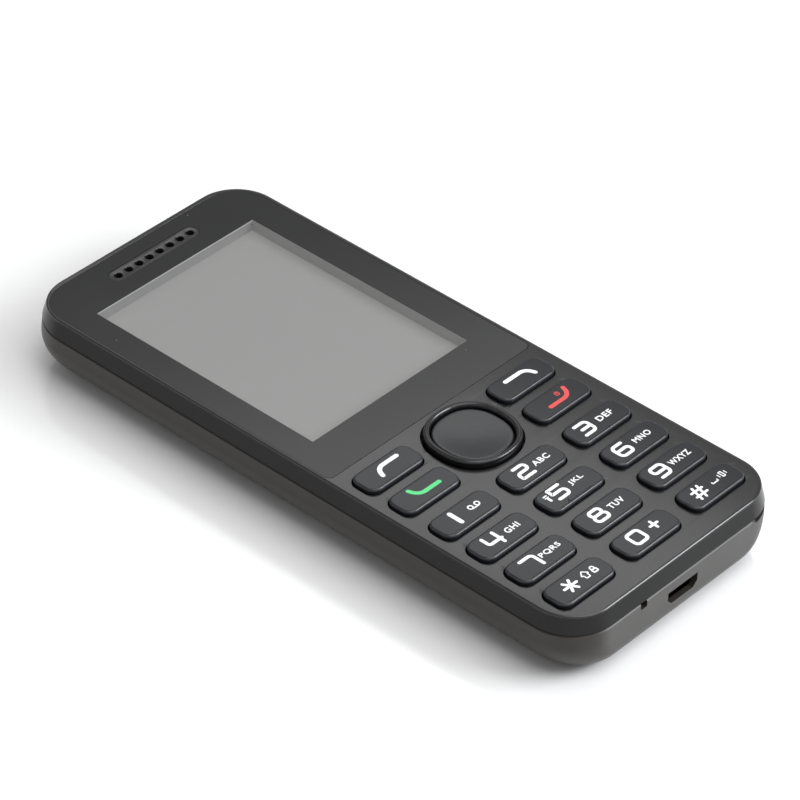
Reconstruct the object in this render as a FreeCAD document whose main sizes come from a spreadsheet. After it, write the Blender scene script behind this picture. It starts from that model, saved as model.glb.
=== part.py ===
import FreeCAD, Part
import math
import os
from types import SimpleNamespace

import Sketcher

# Candybar keypad phone lying on its back, face up. X is its width, Y runs from the microphone end up to the
# earpiece end, Z is up, and the origin is on the table under its middle. All lengths are in millimetres.
os.makedirs("parts", exist_ok=True)
doc = FreeCAD.newDocument("candybar_phone")
sheet = doc.addObject("Spreadsheet::Sheet", "sizes")

SIZES = {
    # Outline of the case where the two halves meet, and what the sides lose from there up to the face
    "body_width": 51.86,
    "body_length": 123.06,
    "corner_radius": 8.6,
    "side_taper": 0.70,
    "end_taper": 1.14,
    "seam_drop": 2.68,
    "rim_softness": 0.25,
    # Heights that are stacked from the table up to the face
    "cover_wall": 1.0,
    "battery_play": 0.15,
    "battery_thickness": 4.45,
    "socket_thickness": 1.15,
    "board_thickness": 0.8,
    "display_play": 0.1,
    "backlight_thickness": 1.15,
    "panel_thickness": 1.1,
    "window_ledge": 1.0,
    "adhesive_thickness": 0.15,
    "window_thickness": 0.9,
    # Front housing
    "keypad_plate": 1.25,
    "housing_wall": 1.44,
    "lip_depth": 1.07,
    "lip_play": 0.15,
    "seam_gap": 0.1,
    "boss_radius": 1.5,
    "boss_x": 21.8,
    "boss_top_y": 53.5,
    "boss_middle_y": -7.2,
    "boss_end_x": 15.0,
    "boss_end_y": -58.3,
    # Display window and the display below it
    "window_inset": 0.93,
    "window_play": 0.08,
    "window_bottom": -8.32,
    "window_foot_radius": 1.2,
    "view_width": 37.34,
    "view_length": 49.4,
    "view_y": 24.89,
    "view_radius": 0.3,
    "view_margin": 0.7,
    "panel_width": 41.0,
    "panel_head": 2.0,
    "panel_foot": 5.7,
    "backlight_rim": 0.5,
    "flex_width": 14.0,
    "flex_reach": 2.3,
    "flex_thickness": 0.12,
    # Earpiece
    "earpiece_y": 54.7,
    "grille_width": 20.2,
    "grille_length": 2.9,
    "grille_play": 0.1,
    "grille_hole_radius": 0.66,
    "grille_pitch": 2.445,
    "grille_holes": 8,
    "receiver_width": 11.0,
    "receiver_length": 4.4,
    # Keypad
    "key_width": 12.44,
    "key_length": 5.39,
    "key_radius": 1.45,
    "key_play": 0.2,
    "key_rise": 0.85,
    "key_edge": 0.3,
    "key_pitch_x": 16.08,
    "key_pitch_y": 7.84,
    "first_row_y": -29.9,
    "function_pitch_y": 7.77,
    "flange_width": 0.5,
    "flange_thickness": 0.6,
    "flange_gap": 0.05,
    "mat_thickness": 0.5,
    "mat_inset": 0.4,
    "dome_film": 0.1,
    "dome_height": 0.25,
    "dome_radius": 2.0,
    "seat_gap": 0.05,
    "plunger_radius": 1.3,
    "key_bar_width": 2.2,
    "key_bar_length": 0.5,
    "key_bar_height": 0.22,
    # Navigation ring, its rocker and the select key
    "nav_y": -17.5,
    "ring_width": 15.6,
    "ring_radius": 7.1,
    "ring_bore": 13.2,
    "ring_bore_radius": 5.8,
    "ring_play": 0.4,
    "ring_rise": 1.3,
    "ring_edge": 0.38,
    "ring_flange": 0.9,
    "flange_play": 0.3,
    "ring_flange_thickness": 0.35,
    "rock_gap": 0.45,
    "rocker_thickness": 0.35,
    "rocker_gap": 0.3,
    "ridge_width": 0.84,
    "select_play": 0.25,
    "select_rise": 0.61,
    "select_edge": 0.25,
    "select_flange": 0.35,
    "select_stem": 3.0,
    # Rear cover, chassis and battery
    "cover_edge_radius": 7.8,
    "end_wall": 4.0,
    "chassis_play": 0.25,
    "chassis_wall": 1.4,
    "chassis_floor": 1.2,
    "chassis_bevel": 4.95,
    "chassis_gap": 0.05,
    "board_play": 0.25,
    "battery_width": 34.0,
    "battery_length": 53.0,
    "battery_side_play": 0.3,
    "battery_y": -7.0,
    "battery_edge": 0.7,
    "bay_ledge": 1.0,
    "bay_wall": 1.4,
    "room_width": 40.0,
    "room_end_y": 55.8,
    "room_corner": 2.0,
    "snap_pitch": 30.3,
    "snap_rows": 3,
    "snap_width": 5.0,
    "snap_height": 0.18,
    "snap_play": 0.1,
    "catch_height": 1.0,
    "screw_radius": 0.8,
    "screw_head_radius": 1.35,
    "screw_head_height": 0.9,
    "screw_seat": 1.4,
    "screw_play": 0.1,
    "screw_tip_gap": 0.2,
    "screw_drive_radius": 0.6,
    # Sockets, camera, sound and the shaker
    "port_width": 7.25,
    "port_height": 2.5,
    "port_chamfer": 0.98,
    "port_z": 6.2,
    "port_wall": 0.25,
    "port_depth": 6.0,
    "jack_x": 13.0,
    "jack_bore_radius": 1.8,
    "jack_height": 5.0,
    "jack_width": 6.2,
    "jack_depth": 12.5,
    "jack_nose_radius": 2.4,
    "jack_nose_length": 1.9,
    "plug_room": 0.5,
    "slot_play": 0.1,
    "mic_x": -9.65,
    "mic_width": 3.8,
    "mic_length": 3.0,
    "mic_height": 1.0,
    "mic_slot_width": 1.5,
    "mic_slot_depth": 1.16,
    "boot_wall": 0.5,
    "pry_width": 8.0,
    "pry_depth": 0.7,
    "speaker_x": -10.5,
    "speaker_y": 30.3,
    "speaker_width": 15.0,
    "speaker_length": 11.0,
    "speaker_height": 3.5,
    "speaker_corner": 2.0,
    "cone_rim": 2.0,
    "cone_depth": 0.6,
    "dust_cap_radius": 2.0,
    "speaker_mouth_width": 12.0,
    "speaker_mouth_length": 5.0,
    "speaker_slot_width": 9.0,
    "speaker_slot_length": 1.0,
    "speaker_slot_pitch": 2.0,
    "speaker_slots": 3,
    "mesh_thickness": 0.12,
    "mesh_margin": 1.0,
    "camera_y": 45.5,
    "camera_width": 8.0,
    "camera_corner": 0.5,
    "camera_barrel_radius": 2.6,
    "camera_barrel_play": 0.5,
    "aperture_radius": 1.3,
    "aperture_depth": 0.6,
    "camera_window_radius": 3.4,
    "camera_window_thickness": 0.7,
    "camera_window_rim": 0.5,
    "torch_x": -13.0,
    "torch_radius": 1.25,
    "torch_wall": 0.5,
    "motor_x": -16.0,
    "motor_y": 44.0,
    "motor_radius": 2.0,
    "motor_length": 6.0,
    "shaft_radius": 0.4,
    "shaft_play": 0.03,
    "weight_gap": 0.5,
    "weight_length": 3.0,
    "weight_radius": 1.9,
    "weight_ear": 0.8,
    # Cans, card sockets, battery contacts and the antenna
    "shield_height": 1.6,
    "shield_wall": 0.2,
    "shield_corner": 0.5,
    "logic_x": 9.2,
    "logic_y": 31.2,
    "logic_width": 19.0,
    "logic_length": 12.0,
    "radio_x": 0.0,
    "radio_y": -44.6,
    "radio_width": 30.0,
    "radio_length": 13.0,
    "sim_x": 8.1,
    "sim_y": -17.6,
    "sim_width": 15.6,
    "sim_length": 22.0,
    "memory_x": 0.0,
    "memory_y": 6.25,
    "memory_width": 15.6,
    "memory_length": 15.6,
    "card_slot": 0.8,
    "contact_width": 10.0,
    "contact_length": 3.0,
    "contact_pitch": 3.0,
    "contact_way_width": 8.0,
    "blade_width": 1.0,
    "blade_drop": 1.0,
    "pad_width": 1.8,
    "pad_drop": 0.9,
    "antenna_width": 32.0,
    "antenna_length": 11.0,
    "antenna_corner": 0.5,
    "antenna_thickness": 0.25,
    "antenna_slot_length": 26.0,
    "antenna_slot_width": 0.8,
    "antenna_slot_shift": 3.0,
    "antenna_slot_y": 2.2,
}


class Size:
    """A length known both as a number and as the sheet expression that gives it."""

    def __init__(self, number, text):
        self.number = number
        self.text = text

    def __add__(self, other):
        other = as_size(other)
        return Size(self.number + other.number, f"({self.text} + {other.text})")

    def __sub__(self, other):
        other = as_size(other)
        return Size(self.number - other.number, f"({self.text} - {other.text})")

    def __mul__(self, other):
        other = as_size(other)
        return Size(self.number * other.number, f"({self.text} * {other.text})")

    def __truediv__(self, other):
        other = as_size(other)
        return Size(self.number / other.number, f"({self.text} / {other.text})")

    def __neg__(self):
        return Size(-self.number, f"(0 - {self.text})")

    __radd__ = __add__
    __rmul__ = __mul__


def as_size(value):
    return value if isinstance(value, Size) else Size(float(value), repr(float(value)))


for row, (alias, number) in enumerate(SIZES.items(), 1):
    sheet.set(f"A{row}", alias)
    sheet.set(f"B{row}", str(number))
    sheet.setAlias(f"B{row}", alias)
doc.recompute()
D = SimpleNamespace(**{alias: Size(number, f"sizes.{alias}") for alias, number in SIZES.items()})
ZERO = as_size(0)
SUBPARTS = []

# A 45 degree cut that takes about as much off a corner as its radius would
CUT_SHARE = 0.6

# Sides of the small round forms that repeat, which keep few faces
POST_SIDES = 8
HOLE_SIDES = 12


# Heights above the table, from the stack of pieces
bay_ceiling = D.cover_wall + D.battery_play * 2 + D.battery_thickness
board_bottom = bay_ceiling + D.socket_thickness
board_top = board_bottom + D.board_thickness
backlight_bottom = board_top + D.display_play
panel_bottom = backlight_bottom + D.backlight_thickness
panel_top = panel_bottom + D.panel_thickness
ledge_bottom = panel_top + D.display_play
adhesive_bottom = ledge_bottom + D.window_ledge
window_bottom_z = adhesive_bottom + D.adhesive_thickness
face = window_bottom_z + D.window_thickness
seam = face - D.seam_drop
plate_bottom = face - D.keypad_plate
lip_bottom = seam - D.lip_depth
chassis_top = lip_bottom - D.chassis_gap
chassis_bottom = D.cover_wall + D.chassis_play
room_bottom = chassis_bottom + D.chassis_floor
key_base = plate_bottom - D.flange_gap - D.flange_thickness
mat_bottom = key_base - D.mat_thickness
dome_top = board_top + D.dome_film + D.dome_height
plunger_bottom = dome_top + D.seat_gap
ring_bottom = plate_bottom - D.rock_gap - D.ring_flange_thickness
rocker_top = ring_bottom - D.rocker_gap
rocker_bottom = rocker_top - D.rocker_thickness
basin_top = rocker_bottom - D.rocker_gap
basin_bottom = basin_top - D.mat_thickness

# Plan sizes that several pieces share
face_width = D.body_width - D.side_taper * 2
face_length = D.body_length - D.end_taper * 2
face_corner = D.corner_radius - (D.side_taper + D.end_taper) / 2
lip_inset = D.cover_wall + D.lip_play
cavity_inset = D.side_taper + D.housing_wall
chassis_inset = D.cover_wall + D.chassis_play
board_inset = chassis_inset + D.chassis_wall + D.board_play
chassis_length = D.body_length - chassis_inset * 2
board_length = D.body_length - board_inset * 2
bay_width = D.battery_width + D.battery_side_play * 2
bay_length = D.battery_length + D.battery_side_play * 2
opening_width = D.key_width + D.key_play * 2
opening_length = D.key_length + D.key_play * 2
opening_radius = D.key_radius + D.key_play
jack_z = room_bottom + D.battery_play + D.jack_height / 2
speaker_bottom = room_bottom + D.battery_play
motor_z = speaker_bottom + D.motor_radius


def bind(thing, path, size):
    size = as_size(size)
    thing.setExpression(path, size.text)


def new_body(name):
    body = doc.addObject("PartDesign::Body", name)
    body.Label = name
    SUBPARTS.append(body)
    return body


def new_sketch(body, name, role, height, x=ZERO, y=ZERO):
    sketch = body.newObject("Sketcher::SketchObject", name)
    plane = next(feature for feature in body.Origin.OriginFeatures if feature.Role == role)
    sketch.AttachmentSupport = [(plane, "")]
    sketch.MapMode = "FlatFace"
    bind(sketch, "AttachmentOffset.Base.x", x)
    bind(sketch, "AttachmentOffset.Base.y", y)
    bind(sketch, "AttachmentOffset.Base.z", height)
    return sketch


def tie(sketch, name, kind, *where, size):
    index = sketch.addConstraint(Sketcher.Constraint(kind, *where, size.number))
    sketch.renameConstraint(index, name)
    bind(sketch, f"Constraints.{name}", size)


def arc(x, y, radius, start, stop):
    circle = Part.Circle(FreeCAD.Vector(x, y, 0), FreeCAD.Vector(0, 0, 1), radius)
    return Part.ArcOfCircle(circle, math.radians(start), math.radians(stop))


def line(x1, y1, x2, y2):
    return Part.LineSegment(FreeCAD.Vector(x1, y1, 0), FreeCAD.Vector(x2, y2, 0))


def corner_loop(sketch, left, bottom, right, top, foot, head):
    """Four lines and four tangent arcs; foot and head are the lower and the upper corner radii."""
    first = sketch.GeometryCount
    sketch.addGeometry(line(left + foot, bottom, right - foot, bottom))
    sketch.addGeometry(line(right, bottom + foot, right, top - head))
    sketch.addGeometry(line(right - head, top, left + head, top))
    sketch.addGeometry(line(left, top - head, left, bottom + foot))
    sketch.addGeometry(arc(right - foot, bottom + foot, foot, 270, 360))
    sketch.addGeometry(arc(right - head, top - head, head, 0, 90))
    sketch.addGeometry(arc(left + head, top - head, head, 90, 180))
    sketch.addGeometry(arc(left + foot, bottom + foot, foot, 180, 270))
    for side in range(4):
        after = first + 4 + side
        sketch.addConstraint(Sketcher.Constraint("Tangent", first + side, 2, after, 1))
        sketch.addConstraint(Sketcher.Constraint("Tangent", after, 2, first + (side + 1) % 4, 1))
    for side in (0, 2):
        sketch.addConstraint(Sketcher.Constraint("Horizontal", first + side))
        sketch.addConstraint(Sketcher.Constraint("Vertical", first + side + 1))
    sketch.addConstraint(Sketcher.Constraint("Equal", first + 4, first + 7))
    sketch.addConstraint(Sketcher.Constraint("Equal", first + 5, first + 6))
    return first


def rounded_outline(sketch, width, length, radius):
    half_x, half_y = width.number / 2, length.number / 2
    first = corner_loop(sketch, -half_x, -half_y, half_x, half_y, radius.number, radius.number)
    sketch.addConstraint(Sketcher.Constraint("Equal", first + 4, first + 5))
    sketch.addConstraint(Sketcher.Constraint("Symmetric", first + 7, 3, first + 5, 3, -1, 1))
    tie(sketch, "width", "DistanceX", first + 3, 1, first + 1, 1, size=width)
    tie(sketch, "length", "DistanceY", first, 1, first + 2, 1, size=length)
    tie(sketch, "radius", "Radius", first + 4, size=radius)


def round_outline(sketch, radius):
    sketch.addGeometry(Part.Circle(FreeCAD.Vector(0, 0, 0), FreeCAD.Vector(0, 0, 1), radius.number))
    sketch.addConstraint(Sketcher.Constraint("Coincident", 0, 3, -1, 1))
    tie(sketch, "radius", "Radius", 0, size=radius)


def stadium_outline(sketch, width, length):
    reach, radius = (width.number - length.number) / 2, length.number / 2
    sketch.addGeometry(line(-reach, -radius, reach, -radius))
    sketch.addGeometry(arc(reach, 0, radius, 270, 450))
    sketch.addGeometry(line(reach, radius, -reach, radius))
    sketch.addGeometry(arc(-reach, 0, radius, 90, 270))
    for side in range(4):
        sketch.addConstraint(Sketcher.Constraint("Tangent", side, 2, (side + 1) % 4, 1))
    sketch.addConstraint(Sketcher.Constraint("Horizontal", 0))
    sketch.addConstraint(Sketcher.Constraint("Symmetric", 1, 3, 3, 3, -1, 1))
    tie(sketch, "reach", "DistanceX", 3, 3, 1, 3, size=width - length)
    tie(sketch, "radius", "Radius", 1, size=length / 2)


def polygon_outline(sketch, corners):
    """Straight-sided loop whose corners are pairs of sizes measured from the sketch's origin."""
    places = [(as_size(x), as_size(y)) for x, y in corners]
    for index, (x, y) in enumerate(places):
        x_next, y_next = places[(index + 1) % len(places)]
        sketch.addGeometry(line(x.number, y.number, x_next.number, y_next.number))
    for index, (x, y) in enumerate(places):
        before = (index - 1) % len(places)
        sketch.addConstraint(Sketcher.Constraint("Coincident", before, 2, index, 1))
        tie(sketch, f"x{index}_at", "DistanceX", -1, 1, index, 1, size=x)
        tie(sketch, f"y{index}_at", "DistanceY", -1, 1, index, 1, size=y)


def cut_outline(sketch, width, length, cut):
    """Rectangle round the sketch's origin whose corners are cut off at 45 degrees."""
    x, y = width / 2, length / 2
    lower = [(-x, cut - y), (cut - x, -y), (x - cut, -y), (x, cut - y)]
    upper = [(x, y - cut), (x - cut, y), (cut - x, y), (-x, y - cut)]
    polygon_outline(sketch, lower + upper)


def ring_outline(sketch, radius, sides):
    """Regular outline round the sketch's origin, with its corners on the radius and flats across X and Y."""
    turns = [2 * math.pi * (index + 0.5) / sides for index in range(sides)]
    polygon_outline(sketch, [(radius * math.cos(turn), radius * math.sin(turn)) for turn in turns])


def grow(body, name, sketch, length):
    feature = body.newObject("PartDesign::Pad", name)
    feature.Profile = sketch
    feature.Refine = False
    bind(feature, "Length", length)
    return settle(body, feature)


def carve(body, name, sketch, length, forwards=True):
    """Cuts along the sketch's own normal when forwards, and against it otherwise."""
    before = body.Shape.Volume
    feature = body.newObject("PartDesign::Pocket", name)
    feature.Profile = sketch
    feature.Reversed = forwards
    feature.Refine = False
    bind(feature, "Length", length)
    settle(body, feature)
    if body.Shape.Volume > before - 1e-6:
        raise RuntimeError(f"{body.Label}: {name} cuts nothing")
    return feature


def settle(body, feature):
    body.Tip = feature
    doc.recompute()
    return feature


def plan_outline(sketch, width, length, radius, cut):
    """Rounded corners where they show, and plainer cut corners on small pieces inside."""
    if cut:
        cut_outline(sketch, as_size(width), as_size(length), as_size(radius) * CUT_SHARE)
    else:
        rounded_outline(sketch, as_size(width), as_size(length), as_size(radius))


def plate(body, name, bottom, top, width, length, radius, x=ZERO, y=ZERO, cut=False):
    sketch = new_sketch(body, f"{name}_outline", "XY_Plane", bottom, x, y)
    plan_outline(sketch, width, length, radius, cut)
    return grow(body, name, sketch, top - bottom)


def hollow(body, name, bottom, top, width, length, radius, x=ZERO, y=ZERO, cut=False):
    sketch = new_sketch(body, f"{name}_outline", "XY_Plane", bottom, x, y)
    plan_outline(sketch, width, length, radius, cut)
    return carve(body, name, sketch, top - bottom)


def disc_outline(sketch, radius, sides):
    if sides:
        ring_outline(sketch, radius, sides)
    else:
        round_outline(sketch, radius)


def post(body, name, bottom, top, radius, x=ZERO, y=ZERO, sides=0):
    sketch = new_sketch(body, f"{name}_outline", "XY_Plane", bottom, x, y)
    disc_outline(sketch, radius, sides)
    return grow(body, name, sketch, top - bottom)


def hole(body, name, bottom, top, radius, x=ZERO, y=ZERO, sides=0):
    sketch = new_sketch(body, f"{name}_outline", "XY_Plane", bottom, x, y)
    disc_outline(sketch, radius, sides)
    return carve(body, name, sketch, top - bottom)


def soften(body, name, radius, choose, kind="Fillet"):
    """Rounds or bevels the tip's edges that choose() picks."""
    base = body.Tip
    edges = [f"Edge{i}" for i, edge in enumerate(base.Shape.Edges, 1) if choose(edge)]
    feature = body.newObject(f"PartDesign::{kind}", name)
    feature.Base = (base, edges)
    bind(feature, "Radius" if kind == "Fillet" else "Size", radius)
    return settle(body, feature)


def lies_at(height):
    def choose(edge):
        box = edge.BoundBox
        return abs(box.ZMin - height.number) < 1e-4 and abs(box.ZMax - height.number) < 1e-4

    return choose


def screw_places():
    for side, sign in (("left", -1), ("right", 1)):
        yield f"top_{side}", D.boss_x * sign, D.boss_top_y
        yield f"middle_{side}", D.boss_x * sign, D.boss_middle_y
        yield f"end_{side}", D.boss_end_x * sign, D.boss_end_y


def snap_places():
    for index in range(int(D.snap_rows.number)):
        y = D.snap_pitch * ((D.snap_rows.number - 1) / 2 - index)
        yield f"{index + 1}_left", -1, y
        yield f"{index + 1}_right", 1, y


def key_places():
    names = ("1", "2", "3", "4", "5", "6", "7", "8", "9", "star", "0", "hash")
    for index, name in enumerate(names):
        x = D.key_pitch_x * (index % 3 - 1)
        y = D.first_row_y - D.key_pitch_y * (index // 3)
        yield f"key_{name}", x, y
    for side, sign in (("left", -1), ("right", 1)):
        yield f"soft_key_{side}", D.key_pitch_x * sign, D.nav_y + D.function_pitch_y / 2
    yield "call_key", -D.key_pitch_x, D.nav_y - D.function_pitch_y / 2
    yield "end_key", D.key_pitch_x, D.nav_y - D.function_pitch_y / 2


def nav_places():
    reach = (D.ring_width + D.ring_bore) / 4
    for name, x, y in (("up", 0, 1), ("down", 0, -1), ("left", -1, 0), ("right", 1, 0), ("middle", 0, 0)):
        yield name, reach * x, D.nav_y + reach * y


def arched_outline(sketch, half, bottom, top, foot, head):
    """Loop centred on X whose two lower corners have one radius and its two upper corners another."""
    first = corner_loop(
        sketch, -half.number, bottom.number, half.number, top.number, foot.number, head.number
    )
    tie(sketch, "half", "DistanceX", -1, 1, first + 1, 1, size=half)
    tie(sketch, "width", "DistanceX", first + 3, 1, first + 1, 1, size=half * 2)
    tie(sketch, "bottom", "DistanceY", -1, 1, first, 1, size=bottom)
    tie(sketch, "top", "DistanceY", -1, 1, first + 2, 1, size=top)
    tie(sketch, "foot", "Radius", first + 4, size=foot)
    tie(sketch, "head", "Radius", first + 5, size=head)


def window_outline(sketch, inset):
    """The face's own outline down to the window's straight foot, drawn in by inset."""
    half = face_width / 2 - D.window_inset - inset
    top = face_length / 2 - D.window_inset - inset
    foot = D.window_foot_radius - inset
    head = face_corner - D.window_inset - inset
    arched_outline(sketch, half, D.window_bottom + inset, top, foot, head)


def make_front_housing():
    body = new_body("front_housing")
    lower = new_sketch(body, "seam_outline", "XY_Plane", seam)
    rounded_outline(lower, D.body_width, D.body_length, D.corner_radius)
    rim = new_sketch(body, "rim_outline", "XY_Plane", face - D.rim_softness)
    rounded_outline(rim, face_width, face_length, face_corner)
    upper = new_sketch(body, "face_outline", "XY_Plane", face)
    bevel = D.rim_softness * 2
    rounded_outline(upper, face_width - bevel, face_length - bevel, face_corner - D.rim_softness)
    shell = body.newObject("PartDesign::AdditiveLoft", "case_front")
    shell.Profile = lower
    shell.Sections = [rim, upper]
    shell.Ruled = True
    settle(body, shell)
    plate(
        body, "lip", lip_bottom, seam + D.seam_gap, D.body_width - lip_inset * 2,
        D.body_length - lip_inset * 2, D.corner_radius - lip_inset,
    )
    inner_width = D.body_width - cavity_inset * 2
    inner_length = D.body_length - cavity_inset * 2 - (D.end_taper - D.side_taper) * 2
    inner_radius = D.corner_radius - cavity_inset
    hollow(body, "display_room", lip_bottom, ledge_bottom, inner_width, inner_length, inner_radius)
    keypad = new_sketch(body, "keypad_room_outline", "XY_Plane", ledge_bottom - D.seam_gap)
    arched_outline(
        keypad, inner_width / 2, inner_length / -2, D.window_bottom - D.window_foot_radius, inner_radius,
        D.key_radius,
    )
    carve(body, "keypad_room", keypad, plate_bottom - ledge_bottom + D.seam_gap)
    flange_room = D.ring_flange + D.flange_play
    nav_width = D.ring_width + flange_room * 2
    hollow(
        body, "nav_room", ledge_bottom - D.seam_gap, plate_bottom, nav_width, nav_width,
        D.ring_radius + flange_room, y=D.nav_y,
    )
    recess = new_sketch(body, "window_seat_outline", "XY_Plane", adhesive_bottom)
    window_outline(recess, -D.window_play)
    carve(body, "window_seat", recess, face - adhesive_bottom + D.seam_gap)
    hollow(
        body, "display_opening", ledge_bottom - D.seam_gap, adhesive_bottom + D.seam_gap,
        D.view_width + D.view_margin * 2, D.view_length + D.view_margin * 2, D.view_margin,
        y=D.view_y, cut=True,
    )
    sound = new_sketch(body, "earpiece_slot_outline", "XY_Plane", ledge_bottom - D.seam_gap, y=D.earpiece_y)
    stadium_outline(sound, D.receiver_width, D.grille_length - D.grille_play * 4)
    carve(body, "earpiece_slot", sound, D.window_ledge + D.seam_gap * 2)
    for name, x, y in key_places():
        hollow(
            body, f"{name}_opening", plate_bottom - D.seam_gap, face + D.seam_gap, opening_width,
            opening_length, opening_radius, x, y,
        )
    nav_hole = D.ring_width + D.ring_play * 2
    hollow(
        body, "nav_opening", plate_bottom - D.seam_gap, face + D.seam_gap, nav_hole, nav_hole,
        D.ring_radius + D.ring_play, y=D.nav_y,
    )
    for name, x, y in screw_places():
        top = ledge_bottom if "top" in name else plate_bottom
        post(body, f"boss_{name}", lip_bottom, top, D.boss_radius, x, y, sides=POST_SIDES)
        bore = D.screw_radius + D.seat_gap
        hole(body, f"pilot_{name}", lip_bottom, top - D.seat_gap, bore, x, y, sides=POST_SIDES)
    notch = D.body_length / 2 - lip_inset + D.housing_wall / 2
    hollow(
        body, "mic_way", lip_bottom, seam, D.mic_slot_width, D.housing_wall * 4, D.mic_slot_width / 4,
        D.mic_x, -notch, cut=True,
    )


def make_display_window():
    body = new_body("display_window")
    sketch = new_sketch(body, "pane_outline", "XY_Plane", window_bottom_z)
    window_outline(sketch, ZERO)
    grow(body, "pane", sketch, D.window_thickness)
    slot = new_sketch(body, "grille_slot_outline", "XY_Plane", window_bottom_z, y=D.earpiece_y)
    stadium_outline(slot, D.grille_width + D.grille_play * 2, D.grille_length + D.grille_play * 2)
    carve(body, "grille_slot", slot, D.window_thickness)


def make_window_adhesive():
    body = new_body("window_adhesive")
    sketch = new_sketch(body, "frame_outline", "XY_Plane", adhesive_bottom)
    window_outline(sketch, D.grille_play)
    grow(body, "frame", sketch, D.adhesive_thickness)
    hollow(
        body, "view", adhesive_bottom, window_bottom_z, D.view_width, D.view_length, D.view_radius,
        y=D.view_y, cut=True,
    )
    slot = new_sketch(body, "sound_outline", "XY_Plane", adhesive_bottom, y=D.earpiece_y)
    stadium_outline(slot, D.grille_width - D.grille_play * 8, D.grille_length - D.grille_play * 4)
    carve(body, "sound", slot, D.adhesive_thickness)


def make_earpiece_grille():
    body = new_body("earpiece_grille")
    sketch = new_sketch(body, "insert_outline", "XY_Plane", window_bottom_z, y=D.earpiece_y)
    stadium_outline(sketch, D.grille_width, D.grille_length)
    grow(body, "insert", sketch, D.window_thickness - D.seat_gap)
    start = D.grille_pitch * (D.grille_holes - 1) / -2
    for index in range(int(D.grille_holes.number)):
        hole(
            body, f"sound_hole_{index + 1}", window_bottom_z, face, D.grille_hole_radius,
            start + D.grille_pitch * index, D.earpiece_y, sides=HOLE_SIDES,
        )


def make_earpiece_receiver():
    body = new_body("earpiece_receiver")
    plate(
        body, "can", board_top, ledge_bottom - D.seat_gap, D.receiver_width, D.receiver_length,
        D.receiver_length / 4, y=D.earpiece_y, cut=True,
    )
    sketch = new_sketch(body, "mouth_outline", "XY_Plane", panel_top - D.display_play, y=D.earpiece_y)
    cut_outline(sketch, D.receiver_width - D.grille_length, D.grille_length / 2, D.grille_length / 8)
    carve(body, "mouth", sketch, D.display_play * 2)


def make_display():
    width, length = D.panel_width, D.view_length + D.panel_head + D.panel_foot
    middle = D.view_y + (D.panel_head - D.panel_foot) / 2
    panel = new_body("lcd_panel")
    plate(panel, "glass", panel_bottom, panel_top, width, length, D.view_radius, y=middle, cut=True)
    backlight = new_body("lcd_backlight")
    rim = D.backlight_rim
    plate(backlight, "tray", backlight_bottom, panel_bottom, width, length, D.view_radius, y=middle, cut=True)
    hollow(
        backlight, "lamp_room", panel_bottom - D.window_ledge / 2, panel_bottom, width - rim * 2,
        length - rim * 2, D.view_radius, y=middle, cut=True,
    )
    guide = new_body("light_guide")
    plate(
        guide, "diffuser", panel_bottom - D.window_ledge / 2, panel_bottom, width - rim * 2 - D.window_play,
        length - rim * 2 - D.window_play, D.view_radius, y=middle, cut=True,
    )
    flex = new_body("lcd_flex")
    sketch = new_sketch(flex, "tail_profile", "YZ_Plane", D.flex_width / -2)
    y_start = middle - length / 2
    y_end = y_start - D.flex_reach
    z_low = board_top + D.seat_gap
    z_high = panel_bottom + D.seat_gap
    slim = D.flex_thickness
    near = y_start - D.seat_gap
    polygon_outline(
        sketch,
        [
            (near, z_high), (near, z_high + slim), (y_end, z_high + slim), (y_end, z_low), (near, z_low),
            (near, z_low + slim), (y_end + slim, z_low + slim), (y_end + slim, z_high),
        ],
    )
    grow(flex, "tail", sketch, D.flex_width)


def make_key(name, x, y):
    body = new_body(name)
    plate(body, "cap", key_base, face + D.key_rise, D.key_width, D.key_length, D.key_radius)
    soften(body, "cap_edge", D.key_edge, lies_at(face + D.key_rise), "Chamfer")
    plate(
        body, "flange", key_base, key_base + D.flange_thickness, D.key_width + D.flange_width * 2,
        D.key_length + D.flange_width * 2, D.key_radius + D.flange_width, cut=True,
    )
    if name == "key_5":
        plate(
            body, "finger_bar", face + D.key_rise - D.key_bar_height, face + D.key_rise + D.key_bar_height,
            D.key_bar_width, D.key_bar_length, D.key_bar_height, D.key_width / 4, D.key_length / -3, cut=True,
        )
    bind(body, "Placement.Base.x", x)
    bind(body, "Placement.Base.y", y)


def make_nav_ring():
    body = new_body("nav_ring")
    plate(body, "collar", ring_bottom, face + D.ring_rise, D.ring_width, D.ring_width, D.ring_radius)
    outer = D.ring_width + D.ring_flange * 2
    plate(
        body, "flange", ring_bottom, ring_bottom + D.ring_flange_thickness, outer, outer,
        D.ring_radius + D.ring_flange,
    )
    hollow(body, "bore", ring_bottom, face + D.ring_rise, D.ring_bore, D.ring_bore, D.ring_bore_radius)
    seat = D.ring_bore + D.flange_width * 2 + D.key_play
    hollow(
        body, "select_seat", ring_bottom, ring_bottom + D.flange_thickness, seat, seat,
        D.ring_bore_radius + D.flange_width,
    )
    soften(body, "crest", D.ring_edge, lies_at(face + D.ring_rise), "Chamfer")
    bind(body, "Placement.Base.y", D.nav_y)


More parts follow.
